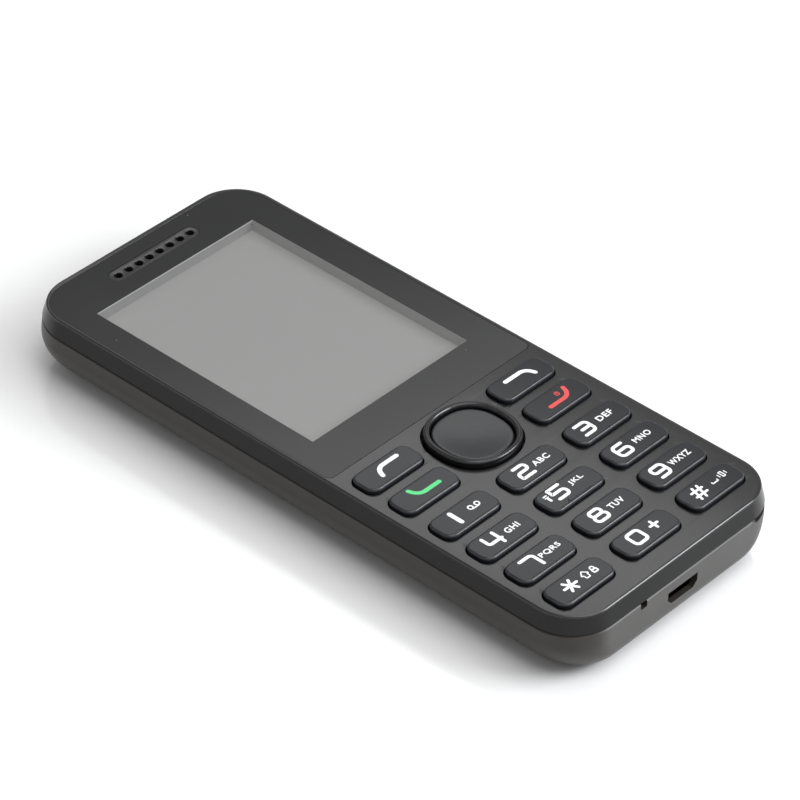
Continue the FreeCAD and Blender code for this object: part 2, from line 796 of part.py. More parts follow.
def make_nav_rocker():
    body = new_body("nav_rocker")
    outer = D.ring_width + D.ring_flange * 2 - D.key_play
    inner = D.ring_bore + D.flange_width * 2 + D.key_play
    reach = (outer + inner) / 4
    wide = (outer - inner) / 2 - D.key_play
    plate(body, "web", rocker_bottom, rocker_top, outer, outer, D.ring_radius + D.ring_flange)
    for side, sign in (("front", -1), ("back", 1)):
        plate(
            body, f"upper_ridge_{side}", rocker_top - D.seat_gap, ring_bottom - D.seat_gap / 2,
            D.ridge_width, wide, D.seat_gap, y=reach * sign, cut=True,
        )
        plate(
            body, f"lower_ridge_{side}", basin_top, rocker_bottom + D.seat_gap, wide, D.ridge_width,
            D.seat_gap, x=reach * sign, cut=True,
        )
    hollow(body, "bore", basin_top, ring_bottom, inner, inner, D.ring_bore_radius + D.flange_width)
    bind(body, "Placement.Base.y", D.nav_y)


def make_ok_key():
    body = new_body("ok_key")
    side = D.ring_bore - D.select_play * 2
    radius = D.ring_bore_radius - D.select_play
    flange_bottom = rocker_top
    plate(body, "cap", flange_bottom, face + D.select_rise, side, side, radius)
    soften(body, "cap_edge", D.select_edge, lies_at(face + D.select_rise), "Chamfer")
    plate(
        body, "flange", flange_bottom, flange_bottom + D.flange_thickness * 2 / 3,
        side + D.select_flange * 2 + D.select_play * 2, side + D.select_flange * 2 + D.select_play * 2,
        radius + D.select_flange + D.select_play,
    )
    post(body, "stem", basin_top, flange_bottom, D.select_stem, sides=POST_SIDES)
    bind(body, "Placement.Base.y", D.nav_y)


def make_key_mat():
    body = new_body("key_mat")
    inset = cavity_inset + D.mat_inset
    half = D.body_width / 2 - inset
    bottom_y = inset + D.end_taper - D.side_taper - D.body_length / 2
    top_y = D.window_bottom - D.window_foot_radius - D.mat_inset
    outline = new_sketch(body, "sheet_outline", "XY_Plane", mat_bottom)
    arched_outline(outline, half, bottom_y, top_y, D.corner_radius - inset, D.key_radius)
    grow(body, "sheet", outline, D.mat_thickness)
    outer = D.ring_width + D.ring_flange * 2 + D.ring_play + D.mat_thickness * 2
    inner = outer - D.mat_thickness * 2
    corner = D.ring_radius + D.ring_flange
    plate(body, "basin", basin_bottom, mat_bottom, outer, outer, corner + D.mat_thickness, y=D.nav_y)
    hollow(body, "basin_room", basin_top, key_base, inner, inner, corner, y=D.nav_y)
    for name, x, y in key_places():
        post(body, f"{name}_plunger", plunger_bottom, mat_bottom, D.plunger_radius, x, y, sides=POST_SIDES)
    for name, x, y in nav_places():
        post(
            body, f"nav_{name}_plunger", plunger_bottom, basin_bottom, D.plunger_radius, x, y,
            sides=POST_SIDES,
        )
    for name, x, y in screw_places():
        if "end" in name:
            way = D.boss_radius + D.mat_inset
            hole(body, f"{name}_way", mat_bottom, key_base, way, x, y, sides=POST_SIDES)


def make_dome_sheet():
    body = new_body("dome_sheet")
    width = D.key_pitch_x * 2 + D.dome_radius * 3
    top_y = D.nav_y + D.ring_width / 2 + D.dome_radius / 2
    bottom_y = D.first_row_y - D.key_pitch_y * 3 - D.dome_radius * 1.25
    plate(
        body, "film", board_top, board_top + D.dome_film, width, top_y - bottom_y, D.dome_radius,
        y=(top_y + bottom_y) / 2, cut=True,
    )
    for name, x, y in list(key_places()) + list(nav_places()):
        post(body, f"{name}_dome", board_top + D.dome_film, dome_top, D.dome_radius, x, y, sides=POST_SIDES)
    relief = D.mic_length + D.boot_wall * 2 + D.board_play * 2
    hollow(
        body, "mic_relief", board_top, board_top + D.dome_film, D.mic_width + D.boot_wall * 3, relief,
        D.slot_play, D.mic_x, relief / 2 - board_length / 2, cut=True,
    )


def make_main_board():
    body = new_body("main_board")
    plate(
        body, "laminate", board_bottom, board_top, D.body_width - board_inset * 2, board_length,
        D.corner_radius - board_inset,
    )
    end = board_length / 2
    jack_start = D.room_end_y + D.jack_nose_length - D.jack_depth - D.board_play
    hollow(
        body, "jack_notch", board_bottom, board_top, D.jack_width + D.board_play * 2,
        (end - jack_start) * 2, D.board_play, D.jack_x, end, cut=True,
    )
    port_start = D.port_depth + D.board_play
    hollow(
        body, "port_notch", board_bottom, board_top, D.port_width + D.board_play * 2, port_start * 2,
        D.board_play, ZERO, -(chassis_length / 2 - D.chassis_wall / 2), cut=True,
    )
    for name, x, y in screw_places():
        way = D.boss_radius + D.board_play
        hole(body, f"{name}_way", board_bottom, board_top, way, x, y, sides=POST_SIDES)


def make_can(name, x, y, width, length):
    body = new_body(name)
    lid = board_bottom - D.shield_height
    plate(body, "lid", lid, board_bottom, width, length, D.shield_corner, x, y, cut=True)
    inner = D.shield_wall * 2
    hollow(
        body, "room", lid + D.shield_wall, board_bottom, width - inner, length - inner,
        D.shield_corner - D.shield_wall, x, y, cut=True,
    )


def make_card_socket(name, x, y, width, length):
    body = new_body(name)
    bottom = board_bottom - D.socket_thickness + D.seat_gap
    plate(body, "cage", bottom, board_bottom, width, length, D.board_play, x, y, cut=True)
    card_z = bottom + D.shield_wall + D.card_slot / 2
    sketch = new_sketch(body, "slot_outline", "XZ_Plane", length / 2 - y, x, card_z)
    cut_outline(sketch, width - D.shield_wall * 4, D.card_slot, D.shield_wall / 2)
    carve(body, "slot", sketch, length - D.shield_wall * 3, forwards=False)
    hollow(
        body, "window", bottom, bottom + D.shield_wall, width / 2, length / 2, D.board_play, x, y, cut=True,
    )


def make_battery_contacts():
    body = new_body("battery_contacts")
    bay_end = D.battery_y + bay_length / 2
    y_back = bay_end + D.bay_wall + D.seat_gap
    plate(
        body, "block", speaker_bottom, board_bottom, D.contact_width, D.contact_length, D.board_play,
        y=y_back + D.contact_length / 2, cut=True,
    )
    length = y_back - (D.battery_y + D.battery_length / 2) - D.seat_gap
    for index in (-1, 0, 1):
        plate(
            body, f"blade_{index + 2}", speaker_bottom + D.battery_play * 3, bay_ceiling - D.blade_drop,
            D.blade_width, length + D.shield_wall * 2, D.shield_wall, D.contact_pitch * index,
            y_back - length / 2 + D.shield_wall, cut=True,
        )


def make_usb_socket():
    shell = new_body("usb_shell")
    front = chassis_length / 2 - D.chassis_wall / 2
    width, height = D.port_width - D.slot_play * 2, D.port_height - D.slot_play * 2
    half, top = width / 2, height / 2
    chamfer = D.port_chamfer

    def port_profile(body, name, away, shrink):
        sketch = new_sketch(body, name, "XZ_Plane", away, ZERO, D.port_z)
        side, roof = half - shrink, top - shrink
        upper = [(side, ZERO), (side - chamfer, roof), (chamfer - side, roof), (-side, ZERO)]
        polygon_outline(sketch, [(-side, -roof), (side, -roof)] + upper)
        return sketch

    grow(shell, "sleeve", port_profile(shell, "outside", front - D.port_depth, ZERO), D.port_depth)
    inside = port_profile(shell, "inside", front - D.port_depth + D.port_wall, D.port_wall)
    carve(shell, "mouth", inside, D.port_depth)
    tongue = new_body("usb_tongue")
    root = front - D.port_depth + D.port_wall
    sketch = new_sketch(tongue, "blade_outline", "XZ_Plane", root, ZERO, D.port_z + top / 4)
    cut_outline(sketch, width - chamfer * 2 - D.port_wall * 4, D.port_wall * 2, D.port_wall / 4)
    grow(tongue, "blade", sketch, D.port_depth - D.port_wall * 6)


def make_audio_jack():
    body = new_body("audio_jack")
    back = D.room_end_y + D.jack_nose_length - D.jack_depth
    front = D.room_end_y - D.slot_play
    plate(
        body, "case", jack_z - D.jack_height / 2, jack_z + D.jack_height / 2, D.jack_width, front - back,
        D.board_play, D.jack_x, (front + back) / 2, cut=True,
    )
    tip = front + D.jack_nose_length + D.slot_play
    nose = new_sketch(body, "nose_outline", "XZ_Plane", -tip, D.jack_x, jack_z)
    round_outline(nose, D.jack_nose_radius)
    grow(body, "nose", nose, D.jack_nose_length + D.slot_play * 2)
    bore = new_sketch(body, "bore_outline", "XZ_Plane", -tip, D.jack_x, jack_z)
    round_outline(bore, D.jack_bore_radius)
    carve(body, "bore", bore, D.jack_depth - D.housing_wall)


def make_microphone():
    end = board_length / 2 - D.board_play
    y = D.mic_length / 2 + D.boot_wall - end
    can = new_body("microphone")
    can_top = board_top + D.mic_height
    plate(can, "can", board_top, can_top, D.mic_width, D.mic_length, D.board_play, D.mic_x, y, cut=True)
    boot = new_body("microphone_boot")
    top = seam - D.slot_play
    wall = D.boot_wall * 2 + D.slot_play
    plate(
        boot, "block", board_top, top, D.mic_width + wall, D.mic_length + wall, D.board_play, D.mic_x, y,
        cut=True,
    )
    hollow(
        boot, "seat", board_top, can_top + D.seat_gap, D.mic_width + D.slot_play,
        D.mic_length + D.slot_play, D.board_play, D.mic_x, y, cut=True,
    )
    reach = D.body_length / 2 - lip_inset - D.housing_wall / 2 - end
    plate(
        boot, "nose", can_top + D.seat_gap, top, D.mic_slot_width - D.slot_play, reach * 2,
        D.slot_play, D.mic_x, -end, cut=True,
    )


def make_loudspeaker():
    body = new_body("loudspeaker")
    top = speaker_bottom + D.speaker_height
    plate(
        body, "frame", speaker_bottom, top, D.speaker_width, D.speaker_length, D.speaker_corner,
        D.speaker_x, D.speaker_y, cut=True,
    )
    sketch = new_sketch(body, "cone_room_outline", "XY_Plane", speaker_bottom, D.speaker_x, D.speaker_y)
    cut_outline(sketch, D.speaker_width - D.cone_rim, D.speaker_length - D.cone_rim, D.cone_rim)
    carve(body, "cone_room", sketch, D.cone_depth)
    post(
        body, "dust_cap", speaker_bottom + D.cone_depth / 3, speaker_bottom + D.cone_depth,
        D.dust_cap_radius, D.speaker_x, D.speaker_y, sides=POST_SIDES,
    )


def make_camera():
    body = new_body("camera_module")
    plate(
        body, "sensor_box", speaker_bottom, board_bottom, D.camera_width, D.camera_width, D.camera_corner,
        y=D.camera_y, cut=True,
    )
    front = chassis_bottom + D.chassis_play
    post(body, "barrel", front, speaker_bottom, D.camera_barrel_radius, y=D.camera_y)
    hole(body, "aperture", front, front + D.aperture_depth, D.aperture_radius, y=D.camera_y, sides=POST_SIDES)
    window = new_body("camera_window")
    post(
        window, "pane", D.slot_play, D.slot_play + D.camera_window_thickness, D.camera_window_radius,
        y=D.camera_y,
    )


def make_torch():
    body = new_body("torch_led")
    front = D.room_end_y - D.slot_play
    wide = D.torch_radius * 2 + D.torch_wall * 2
    plate(
        body, "package", jack_z - wide / 2, board_bottom, wide, D.torch_radius * 2, D.board_play, D.torch_x,
        front - D.torch_radius, cut=True,
    )
    nose = new_sketch(body, "lens_outline", "XZ_Plane", -front - D.jack_nose_length, D.torch_x, jack_z)
    round_outline(nose, D.torch_radius)
    grow(body, "lens", nose, D.jack_nose_length + D.slot_play)


def make_vibration_motor():
    can = new_body("vibration_motor")
    sketch = new_sketch(can, "can_outline", "YZ_Plane", D.motor_x - D.motor_length / 2, D.motor_y, motor_z)
    round_outline(sketch, D.motor_radius)
    grow(can, "can", sketch, D.motor_length)
    start = D.motor_x + D.motor_length / 2
    shaft = new_sketch(can, "shaft_outline", "YZ_Plane", start - D.slot_play, D.motor_y, motor_z)
    round_outline(shaft, D.shaft_radius)
    grow(can, "shaft", shaft, D.weight_length + D.weight_gap + D.slot_play * 2)
    weight = new_body("vibration_weight")
    half = new_sketch(weight, "weight_outline", "YZ_Plane", start + D.weight_gap, D.motor_y, motor_z)
    radius, ear = D.weight_radius.number, D.weight_ear.number
    half.addGeometry(arc(0, 0, radius, 180, 360))
    half.addGeometry(line(radius, 0, radius, ear))
    half.addGeometry(line(radius, ear, -radius, ear))
    half.addGeometry(line(-radius, ear, -radius, 0))
    for index in range(4):
        half.addConstraint(Sketcher.Constraint("Coincident", index, 2, (index + 1) % 4, 1))
    half.addConstraint(Sketcher.Constraint("Coincident", 0, 3, -1, 1))
    half.addConstraint(Sketcher.Constraint("PointOnObject", 0, 1, -1))
    half.addConstraint(Sketcher.Constraint("PointOnObject", 0, 2, -1))
    half.addConstraint(Sketcher.Constraint("Vertical", 1))
    half.addConstraint(Sketcher.Constraint("Horizontal", 2))
    half.addConstraint(Sketcher.Constraint("Vertical", 3))
    tie(half, "swing", "Radius", 0, size=D.weight_radius)
    tie(half, "ear", "DistanceY", -1, 1, 1, 2, size=D.weight_ear)
    grow(weight, "mass", half, D.weight_length)
    eye = new_sketch(weight, "eye_outline", "YZ_Plane", start + D.weight_gap, D.motor_y, motor_z)
    round_outline(eye, D.shaft_radius + D.shaft_play)
    carve(weight, "eye", eye, D.weight_length)


def make_antenna():
    body = new_body("main_antenna")
    y = D.antenna_length - D.room_end_y
    bottom = chassis_bottom + D.seat_gap
    top = bottom + D.antenna_thickness
    plate(body, "foil", bottom, top, D.antenna_width, D.antenna_length, D.antenna_corner, y=y, cut=True)
    for index, sign in enumerate((-1, 1)):
        hollow(
            body, f"slot_{index + 1}", bottom, top, D.antenna_slot_length, D.antenna_slot_width,
            D.antenna_slot_width / 4, D.antenna_slot_shift * sign, y + D.antenna_slot_y * sign, cut=True,
        )


def make_rear_chassis():
    body = new_body("rear_chassis")
    plate(
        body, "tub", chassis_bottom, chassis_top, D.body_width - chassis_inset * 2, chassis_length,
        D.corner_radius - chassis_inset,
    )
    soften(body, "tub_edge", D.chassis_bevel, lies_at(chassis_bottom), "Chamfer")
    recess = board_inset - D.board_play
    hollow(
        body, "board_seat", board_bottom, chassis_top, D.body_width - recess * 2, D.body_length - recess * 2,
        D.corner_radius - recess,
    )
    hollow(
        body, "battery_bay", chassis_bottom, bay_ceiling, bay_width, bay_length, D.battery_edge,
        y=D.battery_y, cut=True,
    )
    ledge = D.bay_ledge * 2
    hollow(
        body, "socket_window", bay_ceiling, board_bottom, bay_width - ledge, bay_length - ledge,
        D.battery_edge, y=D.battery_y, cut=True,
    )
    bay_top = D.battery_y + bay_length / 2 + D.bay_wall
    bay_foot = D.battery_y - bay_length / 2 - D.bay_wall
    hollow(
        body, "upper_room", room_bottom, board_bottom, D.room_width, D.room_end_y - bay_top, D.room_corner,
        y=(D.room_end_y + bay_top) / 2, cut=True,
    )
    hollow(
        body, "lower_room", room_bottom, board_bottom, D.room_width, D.room_end_y + bay_foot, D.room_corner,
        y=(bay_foot - D.room_end_y) / 2, cut=True,
    )
    inside = D.room_end_y - D.chassis_wall
    jack = new_sketch(body, "jack_way_outline", "XZ_Plane", -inside, D.jack_x, jack_z)
    round_outline(jack, D.jack_nose_radius + D.slot_play)
    carve(body, "jack_way", jack, D.cover_edge_radius, forwards=False)
    torch = new_sketch(body, "torch_way_outline", "XZ_Plane", -inside, D.torch_x, jack_z)
    round_outline(torch, D.torch_radius + D.slot_play)
    carve(body, "torch_way", torch, D.cover_edge_radius, forwards=False)
    port = new_sketch(body, "port_way_outline", "XZ_Plane", inside, ZERO, D.port_z)
    cut_outline(port, D.port_width + D.slot_play, D.port_height + D.slot_play, D.slot_play)
    carve(body, "port_way", port, D.cover_edge_radius)
    sound = new_sketch(body, "speaker_mouth_outline", "XY_Plane", chassis_bottom, D.speaker_x, D.speaker_y)
    cut_outline(sound, D.speaker_mouth_width, D.speaker_mouth_length, D.speaker_mouth_length / 4)
    carve(body, "speaker_mouth", sound, D.chassis_floor)
    way = D.camera_barrel_radius + D.camera_barrel_play
    hole(body, "camera_way", chassis_bottom, room_bottom, way, y=D.camera_y)
    hollow(
        body, "contact_way", speaker_bottom + D.slot_play, bay_ceiling - D.blade_drop / 2,
        D.contact_way_width, D.bay_wall * 2, D.slot_play, y=bay_top - D.bay_wall / 2, cut=True,
    )
    hollow(
        body, "antenna_seat", chassis_bottom, chassis_bottom + D.antenna_thickness + D.slot_play,
        D.antenna_width + D.slot_play * 2, D.antenna_length + D.slot_play * 2, D.antenna_corner,
        y=D.antenna_length - D.room_end_y, cut=True,
    )
    shank_way = D.screw_radius + D.screw_play
    for name, x, y in screw_places():
        hole(body, f"{name}_way", chassis_bottom, chassis_top, shank_way, x, y, sides=POST_SIDES)
        hole(
            body, f"{name}_well", chassis_bottom, board_bottom - D.screw_seat,
            D.screw_head_radius + D.screw_play, x, y, sides=POST_SIDES,
        )
    for name, sign, y in snap_places():
        hollow(
            body, f"catch_{name}", board_bottom + D.snap_play, board_bottom + D.catch_height,
            D.snap_height * 4, D.snap_width + D.snap_play * 2, D.snap_play,
            (D.body_width / 2 - chassis_inset) * sign, y, cut=True,
        )


def prism(radius, bottom, top, x, y):
    """Few-sided upright bar whose corners lie on the radius."""
    corners = []
    for index in range(POST_SIDES + 1):
        turn = 2 * math.pi * (index + 0.5) / POST_SIDES
        corners.append(FreeCAD.Vector(x + radius * math.cos(turn), y + radius * math.sin(turn), bottom))
    return Part.Face(Part.makePolygon(corners)).extrude(FreeCAD.Vector(0, 0, top - bottom))


def make_screws():
    shapes = []
    for name, x, y in screw_places():
        place = (x.number, y.number)
        seat = (board_bottom - D.screw_seat).number
        low = seat - D.screw_head_height.number
        top = ledge_bottom if "top" in name else plate_bottom
        head = prism(D.screw_head_radius.number, low, seat, *place)
        shank = prism(D.screw_radius.number, seat, (top - D.screw_tip_gap).number, *place)
        drive = prism(D.screw_drive_radius.number, low, (low + seat) / 2, *place)
        shapes.append(head.fuse(shank).cut(drive).removeSplitter())
    feature = doc.addObject("Part::Feature", "chassis_screws")
    feature.Label = "chassis_screws"
    feature.Shape = Part.makeCompound(shapes)
    feature.Placement = FreeCAD.Placement()
    SUBPARTS.append(feature)


def make_battery():
    body = new_body("battery")
    bottom = D.cover_wall + D.battery_play
    plate(
        body, "cell", bottom, bottom + D.battery_thickness, D.battery_width, D.battery_length,
        D.battery_edge * 2, y=D.battery_y, cut=True,
    )
    soften(
        body, "cell_edge", D.battery_edge,
        lambda edge: lies_at(bottom)(edge) or lies_at(bottom + D.battery_thickness)(edge), "Chamfer",
    )
    end = D.battery_y + D.battery_length / 2
    for index in (-1, 0, 1):
        hollow(
            body, f"pad_{index + 2}", speaker_bottom + D.battery_play * 2, bay_ceiling - D.pad_drop,
            D.pad_width, D.slot_play * 2, D.slot_play / 2, D.contact_pitch * index, end, cut=True,
        )


def make_rear_cover():
    body = new_body("rear_cover")
    top = seam - D.seam_gap
    wall = D.cover_wall
    plate(body, "pan", ZERO, top, D.body_width, D.body_length, D.corner_radius)
    hollow(
        body, "pan_room", wall, top, D.body_width - wall * 2, D.body_length - wall * 2, D.corner_radius - wall
    )
    soften(body, "inner_edge", D.cover_edge_radius - wall, lies_at(wall))
    soften(body, "outer_edge", D.cover_edge_radius, lies_at(ZERO))
    deep = D.cover_edge_radius
    inside = D.body_length / 2 - D.end_wall
    port = new_sketch(body, "port_outline", "XZ_Plane", inside, ZERO, D.port_z)
    half, roof = D.port_width / 2, D.port_height / 2
    upper = [(half, ZERO), (half - D.port_chamfer, roof), (D.port_chamfer - half, roof), (-half, ZERO)]
    polygon_outline(port, [(-half, -roof), (half, -roof)] + upper)
    carve(body, "port", port, deep)
    jack = new_sketch(body, "jack_outline", "XZ_Plane", -inside, D.jack_x, jack_z)
    round_outline(jack, D.jack_nose_radius + D.plug_room)
    carve(body, "jack_hole", jack, deep, forwards=False)
    torch = new_sketch(body, "torch_outline", "XZ_Plane", -inside, D.torch_x, jack_z)
    round_outline(torch, D.torch_radius + D.plug_room / 2)
    carve(body, "torch_hole", torch, deep, forwards=False)
    hollow(
        body, "mic_notch", top - D.mic_slot_depth, top, D.mic_slot_width, D.cover_wall * 4,
        D.mic_slot_width / 4, D.mic_x, D.body_length / -2, cut=True,
    )
    hollow(
        body, "pry_slot", top - D.pry_depth, top, D.pry_width * 2, D.pry_width * 2, D.key_radius,
        D.body_width / 2, D.body_length / -2, cut=True,
    )
    hole(body, "camera_hole", ZERO, D.cover_wall, D.camera_window_radius - D.camera_window_rim, y=D.camera_y)
    hole(
        body, "camera_seat", ZERO, D.camera_window_thickness + D.slot_play + D.seat_gap / 2,
        D.camera_window_radius + D.seat_gap, y=D.camera_y,
    )
    start = D.speaker_slot_pitch * (D.speaker_slots - 1) / -2
    for index in range(int(D.speaker_slots.number)):
        slot = new_sketch(
            body, f"speaker_slot_{index + 1}_outline", "XY_Plane", ZERO, D.speaker_x,
            D.speaker_y + start + D.speaker_slot_pitch * index,
        )
        stadium_outline(slot, D.speaker_slot_width, D.speaker_slot_length)
        carve(body, f"speaker_slot_{index + 1}", slot, D.cover_wall)
    snap_bottom = board_bottom + D.snap_play * 2
    snap_top = board_bottom + D.catch_height - D.snap_play * 2
    for name, sign, y in snap_places():
        plate(
            body, f"snap_{name}", snap_bottom, snap_top, D.snap_height * 2, D.snap_width,
            D.snap_height / 2, (D.body_width / 2 - D.cover_wall) * sign, y, cut=True,
        )
    mesh = new_body("speaker_mesh")
    plate(
        mesh, "cloth", D.cover_wall, D.cover_wall + D.mesh_thickness, D.speaker_slot_width + D.mesh_margin,
        D.speaker_slot_pitch * D.speaker_slots, D.mesh_margin / 2, D.speaker_x, D.speaker_y, cut=True,
    )


make_front_housing()
make_display_window()
make_window_adhesive()
make_earpiece_grille()
make_earpiece_receiver()
make_display()
for place in key_places():
    make_key(*place)
make_nav_ring()
make_nav_rocker()
make_ok_key()
make_key_mat()
make_dome_sheet()
make_main_board()
make_can("logic_shield", D.logic_x, D.logic_y, D.logic_width, D.logic_length)
make_can("radio_shield", D.radio_x, D.radio_y, D.radio_width, D.radio_length)
make_card_socket("sim_socket_left", -D.sim_x, D.sim_y, D.sim_width, D.sim_length)
make_card_socket("sim_socket_right", D.sim_x, D.sim_y, D.sim_width, D.sim_length)
make_card_socket("memory_card_socket", D.memory_x, D.memory_y, D.memory_width, D.memory_length)
make_battery_contacts()
make_usb_socket()
make_audio_jack()
make_microphone()
make_loudspeaker()
make_camera()
make_torch()
make_vibration_motor()
make_antenna()
make_rear_chassis()
make_screws()
make_battery()
make_rear_cover()

doc.recompute()
for thing in doc.Objects:
    if "Invalid" in thing.State or "Error" in thing.State:
        raise RuntimeError(f"{thing.Label} failed: {thing.State}")
for subpart in SUBPARTS:
    if subpart.Shape.isNull() or not subpart.Shape.isValid():
        raise RuntimeError(f"{subpart.Label} has no valid shape")
for subpart in SUBPARTS:
    subpart.Shape.exportStep(f"parts/{subpart.Label}.step")
    box = subpart.Shape.BoundBox
    print(
        f"{subpart.Label}: {len(subpart.Shape.Solids)} solid(s), {subpart.Shape.Volume:.1f} mm3, "
        f"X {box.XMin:.2f} {box.XMax:.2f}, Y {box.YMin:.2f} {box.YMax:.2f}, Z {box.ZMin:.2f} {box.ZMax:.2f}"
    )
print(f"{len(SUBPARTS)} subparts, face at {face.number:.2f}, seam at {seam.number:.2f}")
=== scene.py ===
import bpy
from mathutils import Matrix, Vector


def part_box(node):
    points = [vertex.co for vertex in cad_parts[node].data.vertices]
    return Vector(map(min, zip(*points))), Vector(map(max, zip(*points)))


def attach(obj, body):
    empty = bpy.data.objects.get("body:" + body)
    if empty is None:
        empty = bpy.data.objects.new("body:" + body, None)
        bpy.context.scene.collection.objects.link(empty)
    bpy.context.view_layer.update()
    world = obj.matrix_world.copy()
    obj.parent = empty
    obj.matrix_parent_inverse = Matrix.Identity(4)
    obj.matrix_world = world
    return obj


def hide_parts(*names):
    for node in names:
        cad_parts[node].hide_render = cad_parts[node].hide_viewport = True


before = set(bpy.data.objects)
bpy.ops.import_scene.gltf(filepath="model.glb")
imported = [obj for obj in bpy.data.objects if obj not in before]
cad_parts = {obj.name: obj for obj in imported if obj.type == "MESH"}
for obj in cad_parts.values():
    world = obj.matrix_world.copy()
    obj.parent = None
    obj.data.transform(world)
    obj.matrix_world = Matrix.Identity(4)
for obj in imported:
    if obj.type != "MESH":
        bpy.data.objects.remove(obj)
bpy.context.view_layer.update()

import logging
import math
from dataclasses import dataclass, field
from enum import Enum
from typing import Iterable, Sequence

import bmesh
import bpy
from mathutils import Matrix, Vector
from mathutils.geometry import tessellate_polygon

LOG = logging.getLogger("phone")
MM = 0.001
Point = tuple[float, float]
Loop = list[Point]
Triple = tuple[float, float, float]
Colour = Triple


class Body(Enum):
    """CAD bodies that the pieces ride on."""

    HANDSET = "handset"
    RING = "nav_ring"
    SELECT = "ok_key"
    COVER = "rear_cover"


class Kind(Enum):
    """Ways in which a surface is worked."""

    MOULDED = "moulded"
    BRUSHED = "brushed"


# Shader node groups that several finishes use.


def group_socket(tree: bpy.types.NodeTree, name: str, kind: str, inward: bool = True) -> None:
    """Adds a named socket to a node group.

    Args:
        tree: the group.
        name: the socket's name.
        kind: Float, Vector, Color or Geometry and so on.
        inward: True for an input.
    """
    side = "INPUT" if inward else "OUTPUT"
    tree.interface.new_socket(name=name, in_out=side, socket_type=f"NodeSocket{kind}")


class Wiring:
    """Adds nodes to one tree and links them by socket name."""

    def __init__(self, tree: bpy.types.NodeTree) -> None:
        """Keeps the tree that the nodes go into."""
        self.tree = tree

    def node(self, kind: str, **values: object) -> bpy.types.Node:
        """Adds a node and sets its properties.

        Args:
            kind: the node's type name.
            values: its properties.

        Returns:
            The new node.
        """
        made = self.tree.nodes.new(kind)
        for name, value in values.items():
            setattr(made, name, value)
        return made

    def link(self, source: bpy.types.NodeSocket, node: bpy.types.Node, name: str | int) -> None:
        """Links a socket to an input of a node."""
        self.tree.links.new(source, node.inputs[name])

    def feed(self, operand: object, socket: bpy.types.NodeSocket) -> None:
        """Links a socket to an input, or sets the input's own value.

        Args:
            operand: a socket or a plain value.
            socket: the input.
        """
        if isinstance(operand, bpy.types.NodeSocket):
            self.tree.links.new(operand, socket)
        else:
            socket.default_value = operand

    def use(self, kind: str, settings: dict[str, object] | None = None, **inputs: object) -> bpy.types.Node:
        """Adds a node, sets its properties and feeds its inputs.

        Args:
            kind: the node's type name.
            settings: its properties.
            inputs: sockets or values by input name, with _ for a space.

        Returns:
            The new node.
        """
        made = self.node(kind, **(settings or {}))
        for label, operand in inputs.items():
            self.feed(operand, made.inputs[label.replace("_", " ")])
        return made

    def maths(self, operation: str, first: object, second: object = 0.0,
              third: object = 0.0) -> bpy.types.NodeSocket:
        """Adds a Math node.

        Args:
            operation: its operation.
            first: a socket or a number.
            second: a socket or a number.
            third: a socket or a number.

        Returns:
            Its output socket.
        """
        made = self.node("ShaderNodeMath", operation=operation)
        for index, operand in enumerate((first, second, third)):
            self.feed(operand, made.inputs[index])
        return made.outputs[0]

    def axes(self, vector: bpy.types.NodeSocket) -> bpy.types.NodeOutputs:
        """Splits a vector into its three parts."""
        return self.use("ShaderNodeSeparateXYZ", Vector=vector).outputs


Sockets = Sequence[tuple[str, str]]


class GroupWiring(Wiring):
    """Wiring of a new shader group, with the group's own sockets at hand."""

    def __init__(self, name: str, inputs: Sockets, outputs: Sockets) -> None:
        """Makes the group and its sockets.

        Args:
            name: the group's name.
            inputs: names and kinds of its inputs.
            outputs: names and kinds of its outputs.
        """
        super().__init__(bpy.data.node_groups.new(name, "ShaderNodeTree"))
        for label, kind in inputs:
            group_socket(self.tree, label, kind)
        for label, kind in outputs:
            group_socket(self.tree, label, kind, inward=False)
        self.given = self.node("NodeGroupInput").outputs
        self.result = self.node("NodeGroupOutput")

    def noise(self, scale: object, detail: float = 2.0, roughness: float = 0.5) -> bpy.types.NodeSocket:
        """Adds a noise texture on the group's Vector and returns its grey value."""
        return self.use("ShaderNodeTexNoise", Vector=self.given["Vector"], Scale=scale, Detail=detail,
                        Roughness=roughness).outputs[0]

    def facing(self) -> bpy.types.NodeOutputs:
        """The surface's normal in three parts."""
        return self.axes(self.node("ShaderNodeNewGeometry").outputs["Normal"])

    def blended(self, mask: bpy.types.NodeSocket, over: Colour) -> bpy.types.NodeSocket:
        """Mixes a plain colour into the group's Colour.

        Args:
            mask: where it shows, from 0 to 1.
            over: the plain colour.

        Returns:
            The mixed colour.
        """
        factor, below, above, result = 0, 6, 7, 2
        mix = self.node("ShaderNodeMix", data_type="RGBA")
        self.link(mask, mix, factor)
        self.link(self.given["Colour"], mix, below)
        mix.inputs[above].default_value = (*over, 1.0)
        return mix.outputs[result]


DUST: Colour = (0.42, 0.41, 0.40)
WORN_EDGE: Colour = (0.32, 0.32, 0.34)


